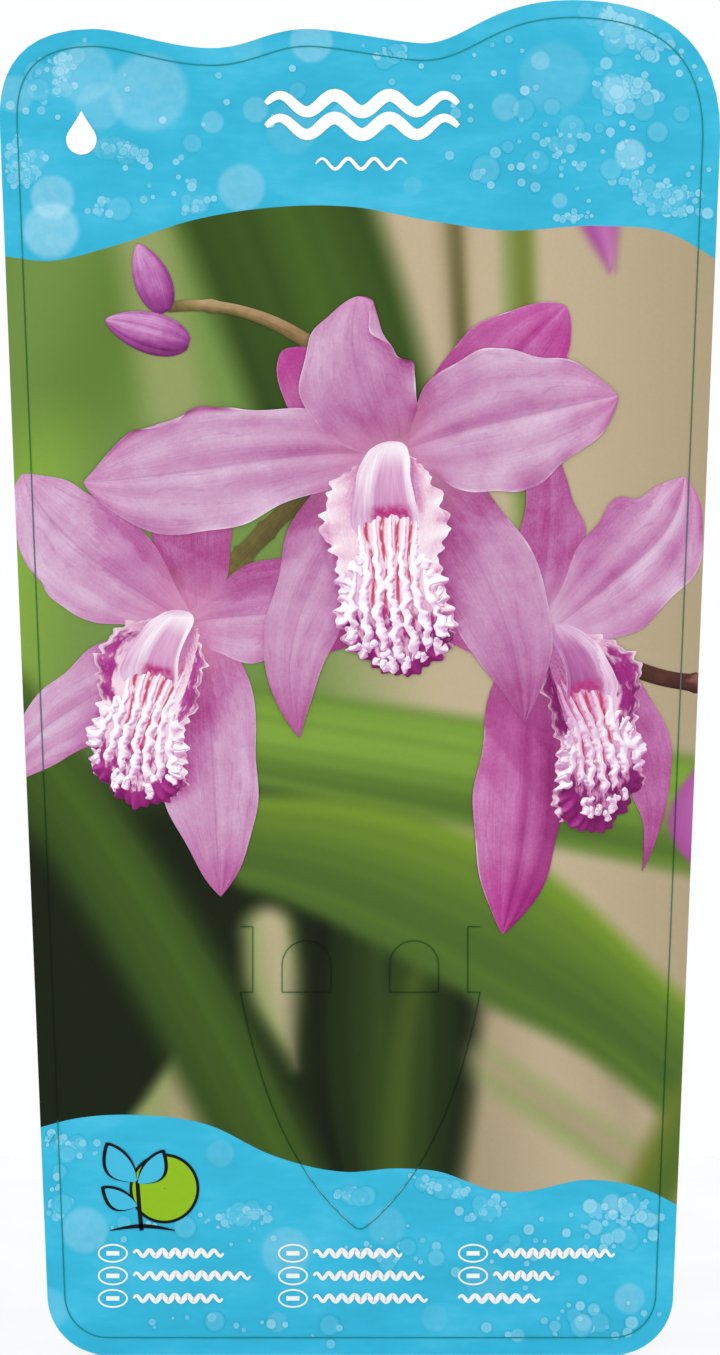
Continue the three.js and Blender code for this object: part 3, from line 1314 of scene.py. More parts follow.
    def crests(self) -> list[Grid]:
        """Five long keels, two short ones, teeth round the middle lobe, and knobs over its apron.

        Returns:
            The ridges.
        """
        random = np.random.default_rng(self.seed + 100)
        result = []
        bare = 0.74 - self.apron
        for number in range(-3, 4):
            far = abs(number)
            first, last = (0.22 + 0.02 * far, 0.93 - 0.025 * far) if far < 3 else (0.48, 0.82)
            s = np.linspace(0.0, 1.0, 40)
            v = self.KEEL_STEP * number * (1 + 0.18 * s**2)
            route = np.stack([first + (last - bare + random.uniform(-0.02, 0.02) - first) * s, v], axis=1)
            result.append(self.crest(route, 0.54, 0.7, int(random.integers(1e6)), calm=0.3))
        nearest = 48 + 300 * bare
        teeth = np.radians(np.concatenate([np.linspace(-150, -nearest, 12), np.linspace(nearest, 150, 12)]))
        for turn in teeth:
            turn = turn + random.uniform(-0.06, 0.06)
            out = np.linspace(random.uniform(0.72, 0.84), random.uniform(0.97, 1.06), 8)
            u, v = self.lobe_place(out, turn)
            route = np.stack([u, np.clip(v, -1.08, 1.08)], axis=1)
            result.append(self.crest(route, random.uniform(0.32, 0.56), 0.4, int(random.integers(1e6))))
        for _ in range(14):
            turn, out = random.uniform(-0.9, 0.9), random.uniform(0.62, 0.86) - bare
            u, v = self.lobe_place(out, turn)
            way = turn + random.uniform(-0.4, 0.4)
            step = np.array([math.cos(way) / self.length, math.sin(way) / self.half_width])
            step = step * random.uniform(0.45, 0.85)
            route = np.linspace(-1.0, 1.0, 6)[:, None] * step + (u, np.clip(v, -0.9, 0.9))
            width = random.uniform(0.30, 0.46)
            result.append(self.crest(np.clip(route, -0.98, 0.99), width, 0.45, int(random.integers(1e6))))
        return result


@dataclass(frozen=True)
class Hood(Blade):
    """The column: it arches forward over the lip, hollow in the middle, with a pale wing either side."""

    MESH: ClassVar = (80, 49)
    WIDTHS: ClassVar[Knots] = (
        (0.0, 0.3), (0.04, 1.2), (0.10, 1.9), (0.25, 2.8), (0.5, 3.8), (0.75, 4.6), (0.90, 4.9), (1.0, 4.2),
    )

    def width(self, u: Array) -> Array:
        """Half its width, from its own knots."""
        return flowing(u, self.WIDTHS) * self.half_width / 3.8

    def grid(self) -> Grid:
        """The surface. Its end is cut short in the middle, so that both wings hang lower.

        Returns:
            The surface.
        """
        u, v = unit_grid(*self.MESH)
        u = u ** 1.4 * (1 - (0.10 + 0.02 * np.sin(17 * v) + 0.012 * np.sin(41 * v)) * (1 - v * v))
        hollow = 1 - ease(np.abs(v - 0.08), 0.34, 0.66)
        return Grid(self.at(u, v), u, v, hollow * ease(u, 0.05, 0.45), hollow * ease(u, 0.74, 0.84))


@dataclass(frozen=True)
class Bloom:
    """One orchid flower: its tepals, the lip with its crests, and the column over it."""

    name: str
    place: Point  # x, z and depth of its centre
    size: float
    yaw: float
    pitch: float
    roll: float
    tepals: tuple[Blade, ...]
    tepal_ink: PetalInk
    lip: Lip | None = None

    def pieces(self) -> list[Piece]:
        """All films of the flower, in its place.

        Returns:
            The films, from the tepals to the column.
        """
        matrix = turned(self.yaw, self.pitch, self.roll) * self.size
        parts = {f"tepal_{k}": ([t.grid()], self.tepal_ink) for k, t in enumerate(self.tepals, start=1)}
        if self.lip:
            hood = Hood(-90, 10.5, 3.8, (44, 26, -24), cup=(25, 58, 56), hem=0.0, ragged=0.03, swell=0.4,
                        start=(0.0, 1.4, 1.6), seed=self.lip.seed + 3)
            parts["lip"] = ([self.lip.grid()], LipInk())
            parts["crests"] = (self.lip.crests(), CrestInk())
            parts["column"] = ([hood.grid()], HoodInk())
        return [
            Piece(f"print_{self.name}_{part}", [grid.moved(matrix, self.place) for grid in grids], ink)
            for part, (grids, ink) in parts.items()
        ]


STEM_INK = ShadedInk(
    "stem_ink",
    ((0.0, "6a6436"), (0.25, "8c8448"), (0.5, "a89e5c"), (1.0, "ccc488")),
    ((0.0, "2c1012"), (0.25, "552529"), (0.5, "965c5c"), (1.0, "d0a09a")),
)
BUD_INK = ShadedInk(
    "bud_ink", ((0.0, "6a2260"), (0.35, "9c4590"), (0.6, "bb70ae"), (0.85, "d7a3d0"), (1.0, "efd6ec")),
)


@dataclass(frozen=True)
class Stem:
    """A round stem along a curve in space."""

    name: str
    route: tuple[Point, ...]  # Bezier points: x, z and depth
    radius: Row
    maroon: Pair = (0.0, 0.0)  # how red it is at its start and at its end

    KNOTS: ClassVar[int] = 7

    def piece(self) -> Piece:
        """The front half of a tube with knots: each cross-section is an arc round the middle line.

        Returns:
            The film.
        """
        line = bezier(self.route, 90)
        heading = np.gradient(line, axis=0)
        side = unit(np.stack([-heading[:, 1], heading[:, 0], np.zeros(len(line))], axis=-1))
        s, t = unit_grid(len(line), 13)
        knots = np.exp(-((np.sin(math.pi * (self.KNOTS * s + 0.4)) / 0.14) ** 2))
        radius = (spread(s, self.radius) * (1 + 0.05 * np.sin(40 * s) + 0.28 * knots))[..., None]
        turn = (t * math.pi / 2)[..., None]
        round_it = np.sin(turn) * side[:, None] + np.cos(turn) * np.array([0.0, 0.0, 1.0])
        tint = self.maroon[0] + (self.maroon[1] - self.maroon[0]) * s
        return Piece(self.name, [Grid(line[:, None] + radius * round_it, s, t, tint)], STEM_INK)


@dataclass(frozen=True)
class Bud:
    """A closed bud: a pointed egg with the furrows of its folded petals."""

    name: str
    place: Point
    angle: float
    length: float
    radius: float

    def piece(self) -> Piece:
        """The front half of a surface of revolution: the radius is a power of s times one of 1 - s.

        Returns:
            The film.
        """
        s, t = unit_grid(60, 31)
        radius = self.radius * (s + 0.02) ** 0.55 * (1 - s) ** 0.75 / 0.425
        radius = radius * (1 - 0.10 * np.cos(t * math.pi * 1.5 + 0.6) ** 8)
        turn = t * math.pi / 2
        a = math.radians(self.angle)
        axes = np.array([[math.cos(a), math.sin(a), 0], [-math.sin(a), math.cos(a), 0], [0, 0, 1]])
        points = np.stack([s * self.length, radius * np.sin(turn), radius * np.cos(turn)], axis=-1)
        return Piece(self.name, [Grid(points @ axes + np.array(self.place), s, t)], BUD_INK)


# ---- the blurred garden


@dataclass(frozen=True)
class SoftLeaf:
    """A leaf out of focus: a curve with a width, a blur, and inks for its edge and its middle."""

    route: tuple[Pair, ...]  # Bezier points
    half_width: Row
    blur: float
    edge: Ink
    middle: Ink
    veins: float = 0.0
    seed: int = 3
    crown: float = 0.2  # how far to the left of its middle line it is lightest, as a share of its width

    def over(self, x: Array, z: Array, colours: Array) -> Array:
        """Lays the leaf over colours: its share falls smoothly from 1 to 0 over the blur at its edge.

        Veins are three waves across the leaf, which keep their place all along it.

        Args:
            x: of the places.
            z: of the places.
            colours: at them, as a screen shows them.

        Returns:
            The new colours.
        """
        line = bezier(self.route, 120)
        dx, dz = x[..., None] - line[:, 0], z[..., None] - line[:, 1]
        away = dx * dx + dz * dz
        nearest = np.argmin(away, axis=-1)[..., None]
        t = nearest[..., 0] / (len(line) - 1)
        heading = unit(np.gradient(line, axis=0))[nearest[..., 0]]
        ox, oz = (np.take_along_axis(d, nearest, -1)[..., 0] for d in (dx, dz))
        offset = heading[..., 0] * oz - heading[..., 1] * ox
        distance = np.sqrt(np.take_along_axis(away, nearest, -1)[..., 0])
        width = spread(t, self.half_width)
        share = 1 - ease(distance, width - self.blur, width + self.blur)
        across = offset / np.maximum(width, 0.1)
        phase = np.random.default_rng(self.seed).uniform(0, math.tau, 5)
        blend = 0.85 * ease(1 - np.abs(across - self.crown), -0.1, 1.0)
        blend = blend + 0.10 * np.sin(5 * t + phase[3]) * np.sin(2 * across + phase[4])
        for number, wave in enumerate((7.0, 12.5, 23.0)):
            blend = blend + self.veins / (1 + 0.5 * number) * np.sin(across * wave + phase[number])
        tone = self.edge.srgb + (self.middle.srgb - self.edge.srgb) * np.clip(blend, -0.3, 1.3)[..., None]
        return colours + (tone - colours) * share[..., None]


def four_tones(colours: Array) -> Array:
    """Screen colours as rows of four numbers in linear light, as a colour attribute takes them."""
    light = linear(colours)
    return np.concatenate([light, np.ones((*light.shape[:-1], 1))], axis=-1).reshape(-1, 4)


@dataclass
class Garden:
    """The backdrop of the picture between the two bands: sand and leaves, all out of focus."""

    relief: Relief
    rows: int = 300
    columns: int = 230

    LEAVES: ClassVar[tuple[SoftLeaf, ...]] = (
        SoftLeaf(((-44, 50), (-36, 72), (-30, 92)), (10, 12, 12), 9.0, Ink.LEAF_MID, Ink.LEAF_LIGHT),
        SoftLeaf(((-46, 8), (-40, 34), (-36, 52)), (12, 12, 9), 7.0, Ink.LEAF_LIGHT, Ink.LEAF_FRESH),
        SoftLeaf(((-28, 96), (-20, 66), (-18, 34)), (3, 3.5, 3), 2.5, Ink.LEAF_PALE, Ink.LEAF_PALE),
        SoftLeaf(((10.2, 92), (10.9, 78), (11.6, 62)), (1.9, 1.7, 1.7), 1.2, Ink.SAND_SHADE, Ink.TWIG),
        SoftLeaf(((17.9, 92), (18.2, 76), (19.2, 50)), (2.1, 2.1, 1.9), 1.0, Ink.LEAF_PALE, Ink.OLIVE),
        SoftLeaf(((-15, 98), (-5.5, 78), (4, 44)), (10.8, 10.6, 9), 2.0, Ink.LEAF_DARK, Ink.LEAF_DEEP, 0.12),
        SoftLeaf(((-48, -12), (-18, 6), (6, -12)), (24, 24, 20), 7.0, Ink.LEAF_NIGHT, Ink.LEAF_NIGHT),
        SoftLeaf(((19.5, -5), (21, -14), (24, -40)), (6.0, 9.5, 15), 2.4, Ink.SAND_SHADE, Ink.SAND),
        SoftLeaf(((13, -11.5), (21, -16.5), (33, -25)), (1.8, 2.1, 2.2), 1.7, Ink.LEAF_PALE, Ink.SAND_SHADE),
        SoftLeaf(((-10.5, 3), (-9.5, -3), (-7.4, -12)), (3.0, 3.4, 0.6), 1.7, Ink.LEAF_PALE, Ink.SAND),
        SoftLeaf(((2, 10), (2.6, -12), (3.2, -34)), (8.0, 9.8, 5.5), 2.4, Ink.LEAF_NIGHT, Ink.LEAF_DARK,
                 0.10, 6),
        SoftLeaf(((7, 0), (3.0, -9), (3.2, -40)), (1.6, 2.6, 2.8), 1.9, Ink.LEAF_DARK, Ink.MOSS),
        SoftLeaf(((-20.5, -10.5), (-21, -17), (-21, -24)), (0.3, 4.6, 10), 1.4,
                 Ink.LEAF_PALE, Ink.SAND_SHADE),
        SoftLeaf(((-47, 34), (-23, 8.4), (-4.6, -36)), (4.8, 5.4, 5.2), 2.0, Ink.LEAF_DARK, Ink.LEAF_DEEP,
                 0.08, 5),
        SoftLeaf(((-12, 25.5), (14, 21.5), (50, 14)), (5.6, 6.4, 6.8), 1.2, Ink.LEAF_MID, Ink.LEAF_FRESH,
                 0.10, 8, crown=0.35),
        SoftLeaf(((-11, 13.2), (17, 9), (45, -20)), (5.6, 7.6, 8.4, 6.2, 5.6), 1.3,
                 Ink.LEAF_SHADE, Ink.LEAF_LEAN, 0.07, 11, crown=0.95),
        SoftLeaf(((44, -9), (35.5, -19), (31, -34)), (2.6, 3.0, 3.0), 1.6, Ink.OLIVE, Ink.LEAF_SHADE),
        SoftLeaf(((26.4, 88), (27.6, 84), (28.7, 79.0)), (3.0, 2.0, 0.3), 1.0,
                 Ink.FAR_FLOWER_DEEP, Ink.FAR_FLOWER),
        SoftLeaf(((43, 6), (43, 16), (42, 26)), (1.0, 7.6, 1.0), 0.6, Ink.FAR_FLOWER_DEEP, Ink.FAR_FLOWER),
    )

    def build(self) -> None:
        """The film: a grid between the sides of the sheet and the edges of the bands.

        A place on it is mixed between the left and right side by one parameter, and between the
        lower and upper wave by the other. Three rounds settle the two on each other.
        """
        up, over = unit_grid(self.rows, self.columns, low=0.0)
        x = -41.0 + 82.0 * over
        for _ in range(3):
            low, high = flowing(x, Sheet.LOWER_WAVE), flowing(x, Sheet.UPPER_WAVE)
            z = low + (high - low) * up
            left, right = self.relief.sheet.sides(z)
            x = left + (right - left) * over
        ink = four_tones(self.colours(x, z))
        points = self.relief.film(np.stack([x, z, np.full_like(x, Relief.FAR)], axis=-1))
        print_film("print_garden", [(points, None)], TonedInk("garden_ink"), {"ink": ink})

    def colours(self, x: Array, z: Array) -> Array:
        """The ground, which is sand that fades into green on the left, and leaf after leaf over it.

        Args:
            x: of the places.
            z: of the places.

        Returns:
            Their colours, as a screen shows them.
        """
        share = ease(x + 0.12 * z, -6.0, 14.0)[..., None]
        down = (1 - ease(z, -10, 40))[..., None]
        green = Ink.LEAF_LIGHT.srgb + (Ink.LEAF_MID.srgb - Ink.LEAF_LIGHT.srgb) * down
        sand = Ink.SAND.srgb + (Ink.SAND_SHADE.srgb - Ink.SAND.srgb) * ease(x, 20, 45)[..., None]
        colours = green + (sand - green) * share
        for leaf in self.LEAVES:
            colours = leaf.over(x, z, colours)
        return np.clip(colours, 0.0, 1.0)


# ---- bubbles, marks and hairlines


@dataclass(frozen=True)
class Foam:
    """A cloud of small bubbles in the water, spread round its middle along a slanting line.

    One bubble in nine is a large faint one.
    """

    place: Pair
    spread: Pair
    count: int
    largest: float
    angle: float = 0.0
    least: float = 0.25

    def strewn(self, random: np.random.Generator) -> Array:
        """Its bubbles, by a normal spread round the middle.

        Args:
            random: what they are drawn from.

        Returns:
            Rows of x, z, radius and strength.
        """
        along, over = random.normal(0, 0.6, (2, self.count)) * np.array(self.spread)[:, None]
        radius = self.least + (self.largest - self.least) * random.uniform(0, 1, self.count) ** 1.6
        strength = random.uniform(0.34, 0.84, self.count)
        faint = np.arange(self.count) % 9 == 0
        radius = np.where(faint, radius + random.uniform(0.3, 1.0, self.count), radius)
        strength = np.where(faint, 0.28 * strength, strength)
        return np.column_stack([slanted(self.place, self.angle, along, over), radius, strength])


@dataclass
class Bubbles:
    """The small bubbles in both bands, as one film of the water print."""

    relief: Relief
    water: WaterPrint
    turns: int = 16  # straight steps round a bubble
    profile: Table = ((0.0, 0.74), (0.42, 0.70), (0.68, 1.00), (0.84, 0.62), (1.0, 0.0))  # glow, to its rim
    clear: float = 0.15  # from a bubble to the outline
    seed: int = 404

    FOAMS: ClassVar[tuple[Foam, ...]] = (
        Foam((-35.2, 100.6), (4.0, 1.8), 60, 0.75, 50), Foam((-27.5, 92.6), (3.2, 0.7), 70, 0.62, -12),
        Foam((-39.0, 90.8), (2.2, 1.6), 80, 0.75), Foam((-22.0, 90.0), (4.5, 4.0), 14, 0.62),
        Foam((-19.2, 86.0), (1.6, 0.5), 16, 0.62, 20), Foam((-29.3, 86.0), (1.2, 0.7), 16, 0.62),
        Foam((30.5, 106.2), (6.5, 1.3), 90, 0.88, -32), Foam((30.5, 99.0), (3.0, 1.8), 90, 0.94, -20),
        Foam((22.5, 93.0), (3.2, 3.2), 34, 0.62, 60), Foam((35.0, 87.0), (3.2, 1.2), 90, 0.75, -15),
        Foam((31.0, 92.5), (7.0, 4.5), 30, 0.62), Foam((14.0, 100.0), (9.0, 5.0), 20, 0.75),
        Foam((-6.0, 100.0), (16.0, 5.0), 18, 0.62), Foam((16.5, 90.5), (5.0, 3.5), 14, 0.75),
        Foam((24.5, 84.8), (1.8, 0.4), 20, 0.56), Foam((3.8, 103.4), (1.6, 0.6), 20, 0.56),
        Foam((-34.0, -21.0), (3.2, 0.7), 56, 0.56, -12, least=0.19),
        Foam((-35.5, -27.5), (1.6, 4.0), 20, 0.62),
        Foam((-13.5, -29.5), (2.2, 0.8), 50, 0.62, 10, least=0.19),
        Foam((-1.0, -27.0), (1.6, 0.6), 34, 0.5, -10, least=0.19),
        Foam((9.0, -26.0), (3.0, 0.6), 50, 0.56, -14, least=0.19),
        Foam((14.5, -28.5), (2.2, 0.9), 44, 0.62, 25, least=0.19), Foam((30.0, -29.5), (4.0, 2.6), 50, 1),
        Foam((20.0, -32.5), (8.0, 4.0), 26, 0.75), Foam((3.5, -33.0), (5.0, 1.6), 20, 0.5, least=0.19),
        Foam((-22.0, -30.5), (9.0, 3.0), 18, 0.56, least=0.19), Foam((26.0, -41.0), (9.0, 2.4), 26, 0.88),
        Foam((-12.0, -42.0), (16.0, 1.6), 18, 0.62, least=0.19),
    )

    def build(self) -> None:
        """Strews the bubbles, keeps those that lie in a band, and draws each as rings round its middle."""
        random = np.random.default_rng(self.seed)
        x, z, radius, strength = np.concatenate([foam.strewn(random) for foam in self.FOAMS]).T
        in_band = (z - radius > flowing(x, Sheet.UPPER_WAVE)) | (z + radius < flowing(x, Sheet.LOWER_WAVE))
        kept = in_band & self.relief.sheet.holds(x, z, radius + self.clear)
        x, z, radius, strength = (value[kept] for value in (x, z, radius, strength))
        out, glow = np.array(self.profile).T
        turn = np.linspace(0.0, math.tau, self.turns + 1)
        sheets, values = [], []
        layers = np.linspace(Relief.FAR + 0.4, Relief.MARKS - 1.0, len(x))
        for index, layer in enumerate(layers):
            ring = radius[index] * np.maximum(out, 0.02)[:, None]
            across, up = x[index] + ring * np.cos(turn), z[index] + ring * np.sin(turn)
            points = np.stack([across, up, np.full_like(across, layer)], axis=-1)
            sheets.append((self.relief.film(points), None))
            values.append(np.repeat(glow * strength[index], len(turn)))
        print_film("print_bubbles", sheets, self.water, {"glow": np.concatenate(values)})


@dataclass
class Marks:
    """White ornaments in place of lettering, the badge, and the hairlines of the die and the bleed."""

    relief: Relief
    garden: Garden
    line: float = 0.07  # half-width of a hairline
    layer: float = 0.008  # thickness of one layer of ink
    bleed: float = 2.0  # from the outline to the line inside it
    neck_half_width: float = 12.3
    barb_half_width: float = 13.7
    neck_top: float = 3.75
    barb: float = -3.75
    tip: float = -30.85
    tab_offset: float = 6.15
    tab_half_width: float = 2.8
    tab_side: float = 3.1
    step: float = 0.4  # along a hairline
    let_through: Row = (0.42, 0.72, 0.62)  # share of red, green and blue below a hairline
    white: MarkInk = MarkInk("white_ink", Ink.WHITE)
    black: MarkInk = MarkInk("black_ink", Ink.BLACK)
    green: MarkInk = MarkInk("green_ink", Ink.BADGE_GREEN)
    blue: MarkInk = MarkInk("blue_ink", Ink.WATER_LIGHT)
    hairline: TonedInk = TonedInk("hairline_ink")

    @staticmethod
    def ribbon(path: Array, half_width: float | Array) -> Array:
        """A strip along a path: the path moved to either side.

        Args:
            path: its points, in rows.
            half_width: of the strip, for all points or for each.

        Returns:
            Two columns of points.
        """
        heading = np.gradient(path, axis=0)
        if np.allclose(path[0], path[-1]):
            heading[0] = heading[-1] = path[1] - path[-2]
        heading = unit(heading)
        side = np.stack([-heading[:, 1], heading[:, 0]], axis=1) * np.reshape(half_width, (-1, 1))
        return np.stack([path - side, path + side], axis=1)

    @staticmethod
    def disc(place: Sequence[float], radius: float) -> Array:
        """A filled circle.

        Args:
            place: x and z of its middle.
            radius: its radius.

        Returns:
            Rings of points round its middle.
        """
        out, turn = unit_grid(3, 64, low=0.0)
        out, turn = radius * np.maximum(out, 0.02), turn * math.tau
        return np.stack([place[0] + out * np.cos(turn), place[1] + out * np.sin(turn)], axis=-1)

    @staticmethod
    def leaf(place: Sequence[float], angle: float, length: float, half_width: float, bend: float) -> Array:
        """A filled leaf: half its width is a sine of the way along it, and its middle line is an arc.

        Args:
            place: x and z of its foot.
            angle: degrees above the right.
            length: from foot to tip.
            half_width: at its widest.
            bend: how far its middle bows to the left.

        Returns:
            A grid of points.
        """
        s, t = unit_grid(28, 9)
        width = half_width * np.sin(np.pi * s) ** 0.8
        return slanted(place, angle, s * length, t * width + bend * np.sin(np.pi * s))

    def overprint(self, x: Array, z: Array) -> Array:
        """A hairline's colours: those of the print below it, dimmed by the line's green ink.

        Args:
            x: of the places.
            z: of the places.

        Returns:
            Rows of four numbers in linear light.
        """
        water = (z < flowing(x, Sheet.LOWER_WAVE)) | (z > flowing(x, Sheet.UPPER_WAVE))
        petal = self.relief.top(x, z, 0.1) > Relief.FAR + 1.0
        below = np.where(petal[..., None], Ink.PETAL.srgb, self.garden.colours(x, z))
        below = np.where(water[..., None], Ink.WATER_LIGHT.srgb, below)
        return four_tones(below * self.let_through)

    def lay(self, name: str, shapes: Sequence[Array], ink: MarkInk | TonedInk, layer: int = 1,
            over_picture: bool = False) -> None:
        """Prints flat shapes as one film.

        Args:
            name: of the film.
            shapes: grids of x and z.
            ink: its ink.
            layer: how many films lie under it.
            over_picture: whether it also lies over the pressed picture, as a hairline does.
        """
        sheets, tones = [], []
        for shape in shapes:
            x, z = shape[..., 0], shape[..., 1]
            depth = np.full_like(x, Relief.MARKS)
            if over_picture:
                depth = np.maximum(depth, self.relief.top(x, z, 0.4) + 1.0)
                tones.append(self.overprint(x, z))
            points = self.relief.film(np.stack([x, z, depth], axis=-1))
            points[..., 1] -= self.layer * layer * MM
            sheets.append((points, None))
        print_film(name, sheets, ink, {"ink": np.concatenate(tones)} if tones else None)

    def ripple(self, place: Pair, width: float, height: float, waves: float, thick: float) -> Array:
        """A wave ornament: a ribbon along a sine that swells in its middle and thins to its ends.

        Args:
            place: x and z of its middle.
            width: from end to end.
            height: from crest to trough.
            waves: how many.
            thick: half its thickness in the middle.

        Returns:
            The ribbon.
        """
        s = np.linspace(0.0, 1.0, int(24 * waves) + 2)
        path = np.stack([width * (s - 0.5), height / 2 * np.sin(math.tau * waves * s)], axis=1) + place
        return self.ribbon(path, thick * (0.35 + 0.65 * np.sin(np.pi * s) ** 0.5))

    def title(self) -> None:
        """A bold double wave where a name would stand, with a finer one under it."""
        bold = [self.ripple((0.2, z), 22.0, 1.9, 3.5, 0.75) for z in (97.9, 95.3)]
        self.lay("print_title_ripples", bold, self.white)
        self.lay("print_subtitle_ripple", [self.ripple((0.1, 91.0), 10.4, 1.2, 3.5, 0.22)], self.white)

    def drop(self) -> None:
        """A drop of water: a circle whose upper part is drawn out to a point."""
        out, turn = unit_grid(3, 60, low=0.0)
        turn = turn * math.tau
        pull = np.maximum(np.cos(turn), 0.0) ** 3
        x = -31.9 + 1.75 * out * np.sin(turn) * (1 - 0.75 * pull)
        z = 93.8 + out * (1.75 * np.cos(turn) + 1.5 * pull)
        self.lay("print_drop", [np.stack([x, z], axis=-1)], self.white)

    def badge(self) -> None:
        """A seedling over a green disc, drawn with a black outline."""
        disc = (-22.4, -26.2)
        self.lay("print_badge_rim", [self.disc(disc, 4.0)], self.black)
        self.lay("print_badge_disc", [self.disc(disc, 3.66)], self.green, 2)
        leaves = ((-25.6, -25.4, 128.0, 5.2, 1.35, 0.5), (-25.4, -25.6, 52.0, 4.4, 1.15, -0.5),
                  (-25.5, -28.2, 152.0, 4.2, 1.0, 0.4))
        outlines = [self.leaf((x, z), a, length + 0.5, w + 0.30, b) for x, z, a, length, w, b in leaves]
        stem = bezier([(-25.0, -31.0), (-25.3, -28.5), (-25.5, -25.2)], 16)
        outlines.append(self.ribbon(stem, 0.24))
        ground = np.linspace(0.0, 1.0, 24)
        path = np.stack([-28.6 + 7.4 * ground, -31.0 + 0.5 * np.sin(np.pi * ground)], axis=1)
        outlines.append(self.ribbon(path, 0.06 + 0.17 * np.sin(np.pi * ground)))
        self.lay("print_badge_outline", outlines, self.black, 3)
        fills = [self.leaf((x, z), a, length, w, b) for x, z, a, length, w, b in leaves]
        self.lay("print_badge_leaves", fills, self.blue, 4)

    def rows(self) -> None:
        """Three columns of rows, each an oval ring with a bar in it and a line of small ripples."""
        rings, bars, words = [], [], []
        columns = ((-28.3, (10.3, 13.4, 10.2)), (-7.7, (10.1, 12.6, 13.0)), (12.9, (13.8, 6.9, 9.3)))
        for x, lengths in columns:
            for row, length in enumerate(lengths):
                z = -33.6 - 2.58 * row
                last = x > 0 and row == 2
                start = x - 1.7 if last else x + 2.35
                if not last:
                    turn = np.linspace(0, math.tau, 49)
                    ring = np.stack([x + 1.62 * np.cos(turn), z + 0.98 * np.sin(turn)], axis=1)
                    rings.append(self.ribbon(ring, 0.10))
                    bars.append(self.ribbon(np.array([[x - 0.75, z], [x + 0.75, z]]), 0.26))
                waves = max(2, round(length / 1.45))
                words.append(self.ripple((start + length / 2, z), length, 0.66, waves, 0.31))
        self.lay("print_row_rings", rings + bars, self.white)
        self.lay("print_row_ripples", words, self.white)

    def hairlines(self) -> None:
        """The line of the bleed inside the outline, and the lines of the die over the cuts."""
        loop = self.relief.sheet.inset(self.bleed)
        self.lay("print_bleed_line", [self.ribbon(loop, self.line)], self.hairline, 2, over_picture=True)
        neck, barb, low = self.neck_half_width, self.barb_half_width, self.barb
        curve = bezier([(-barb, low), (-11.8, -13.55), (-8.5, -23.85), (-1.15, -30.15)], 40)
        tip = bezier([(-1.15, -30.15), (-0.5, self.tip), (0.0, self.tip)], 8)[1:]
        half = np.vstack([curve, tip])
        lines = [np.vstack([half, half[:-1][::-1] * (-1, 1)])]
        hook = np.array([[-barb, self.neck_top], [-neck, self.neck_top], [-neck, low], [-barb, low]])
        for side in (1, -1):
            lines += [np.array([a, b]) * (side, 1) for a, b in zip(hook[:-1], hook[1:])]
        turn = np.linspace(0, math.pi, 30)
        arch = self.tab_half_width * np.stack([np.cos(turn), np.sin(turn)], axis=1)
        arch = arch + (0.0, low + self.tab_side)
        feet = np.array([[self.tab_half_width, low], [-self.tab_half_width, low]])
        for centre in (-self.tab_offset, self.tab_offset):
            lines += [np.vstack([feet[:1], arch, feet[1:]]) + (centre, 0.0), feet + (centre, 0.0)]
        ribbons = [self.ribbon(evenly(line, self.step), self.line) for line in lines]
        self.lay("print_die_lines", ribbons, self.hairline, 3, over_picture=True)

    def build(self) -> None:
        """Prints every mark."""
        self.title()
        self.drop()
        self.badge()
        self.rows()
        self.hairlines()


# ---- the orchids


FRONT_INK = PetalInk()
REAR_INK = PetalInk(
    name="rear_petal_ink",
    tones=(
        (0.0, "93306c"), (0.13, "ab4d8b"), (0.27, "ba6ea5"), (0.40, "c384b2"), (0.54, "cd9abf"),
        (0.71, "dab8d4"), (0.92, "eedfec"),
    ),
    back="c68ab8",
    vein="983a80",
    rim="e8cee1",
)
RIGHT_INK = replace(REAR_INK, name="right_petal_ink", throat="ead2e6", lift=0.10)

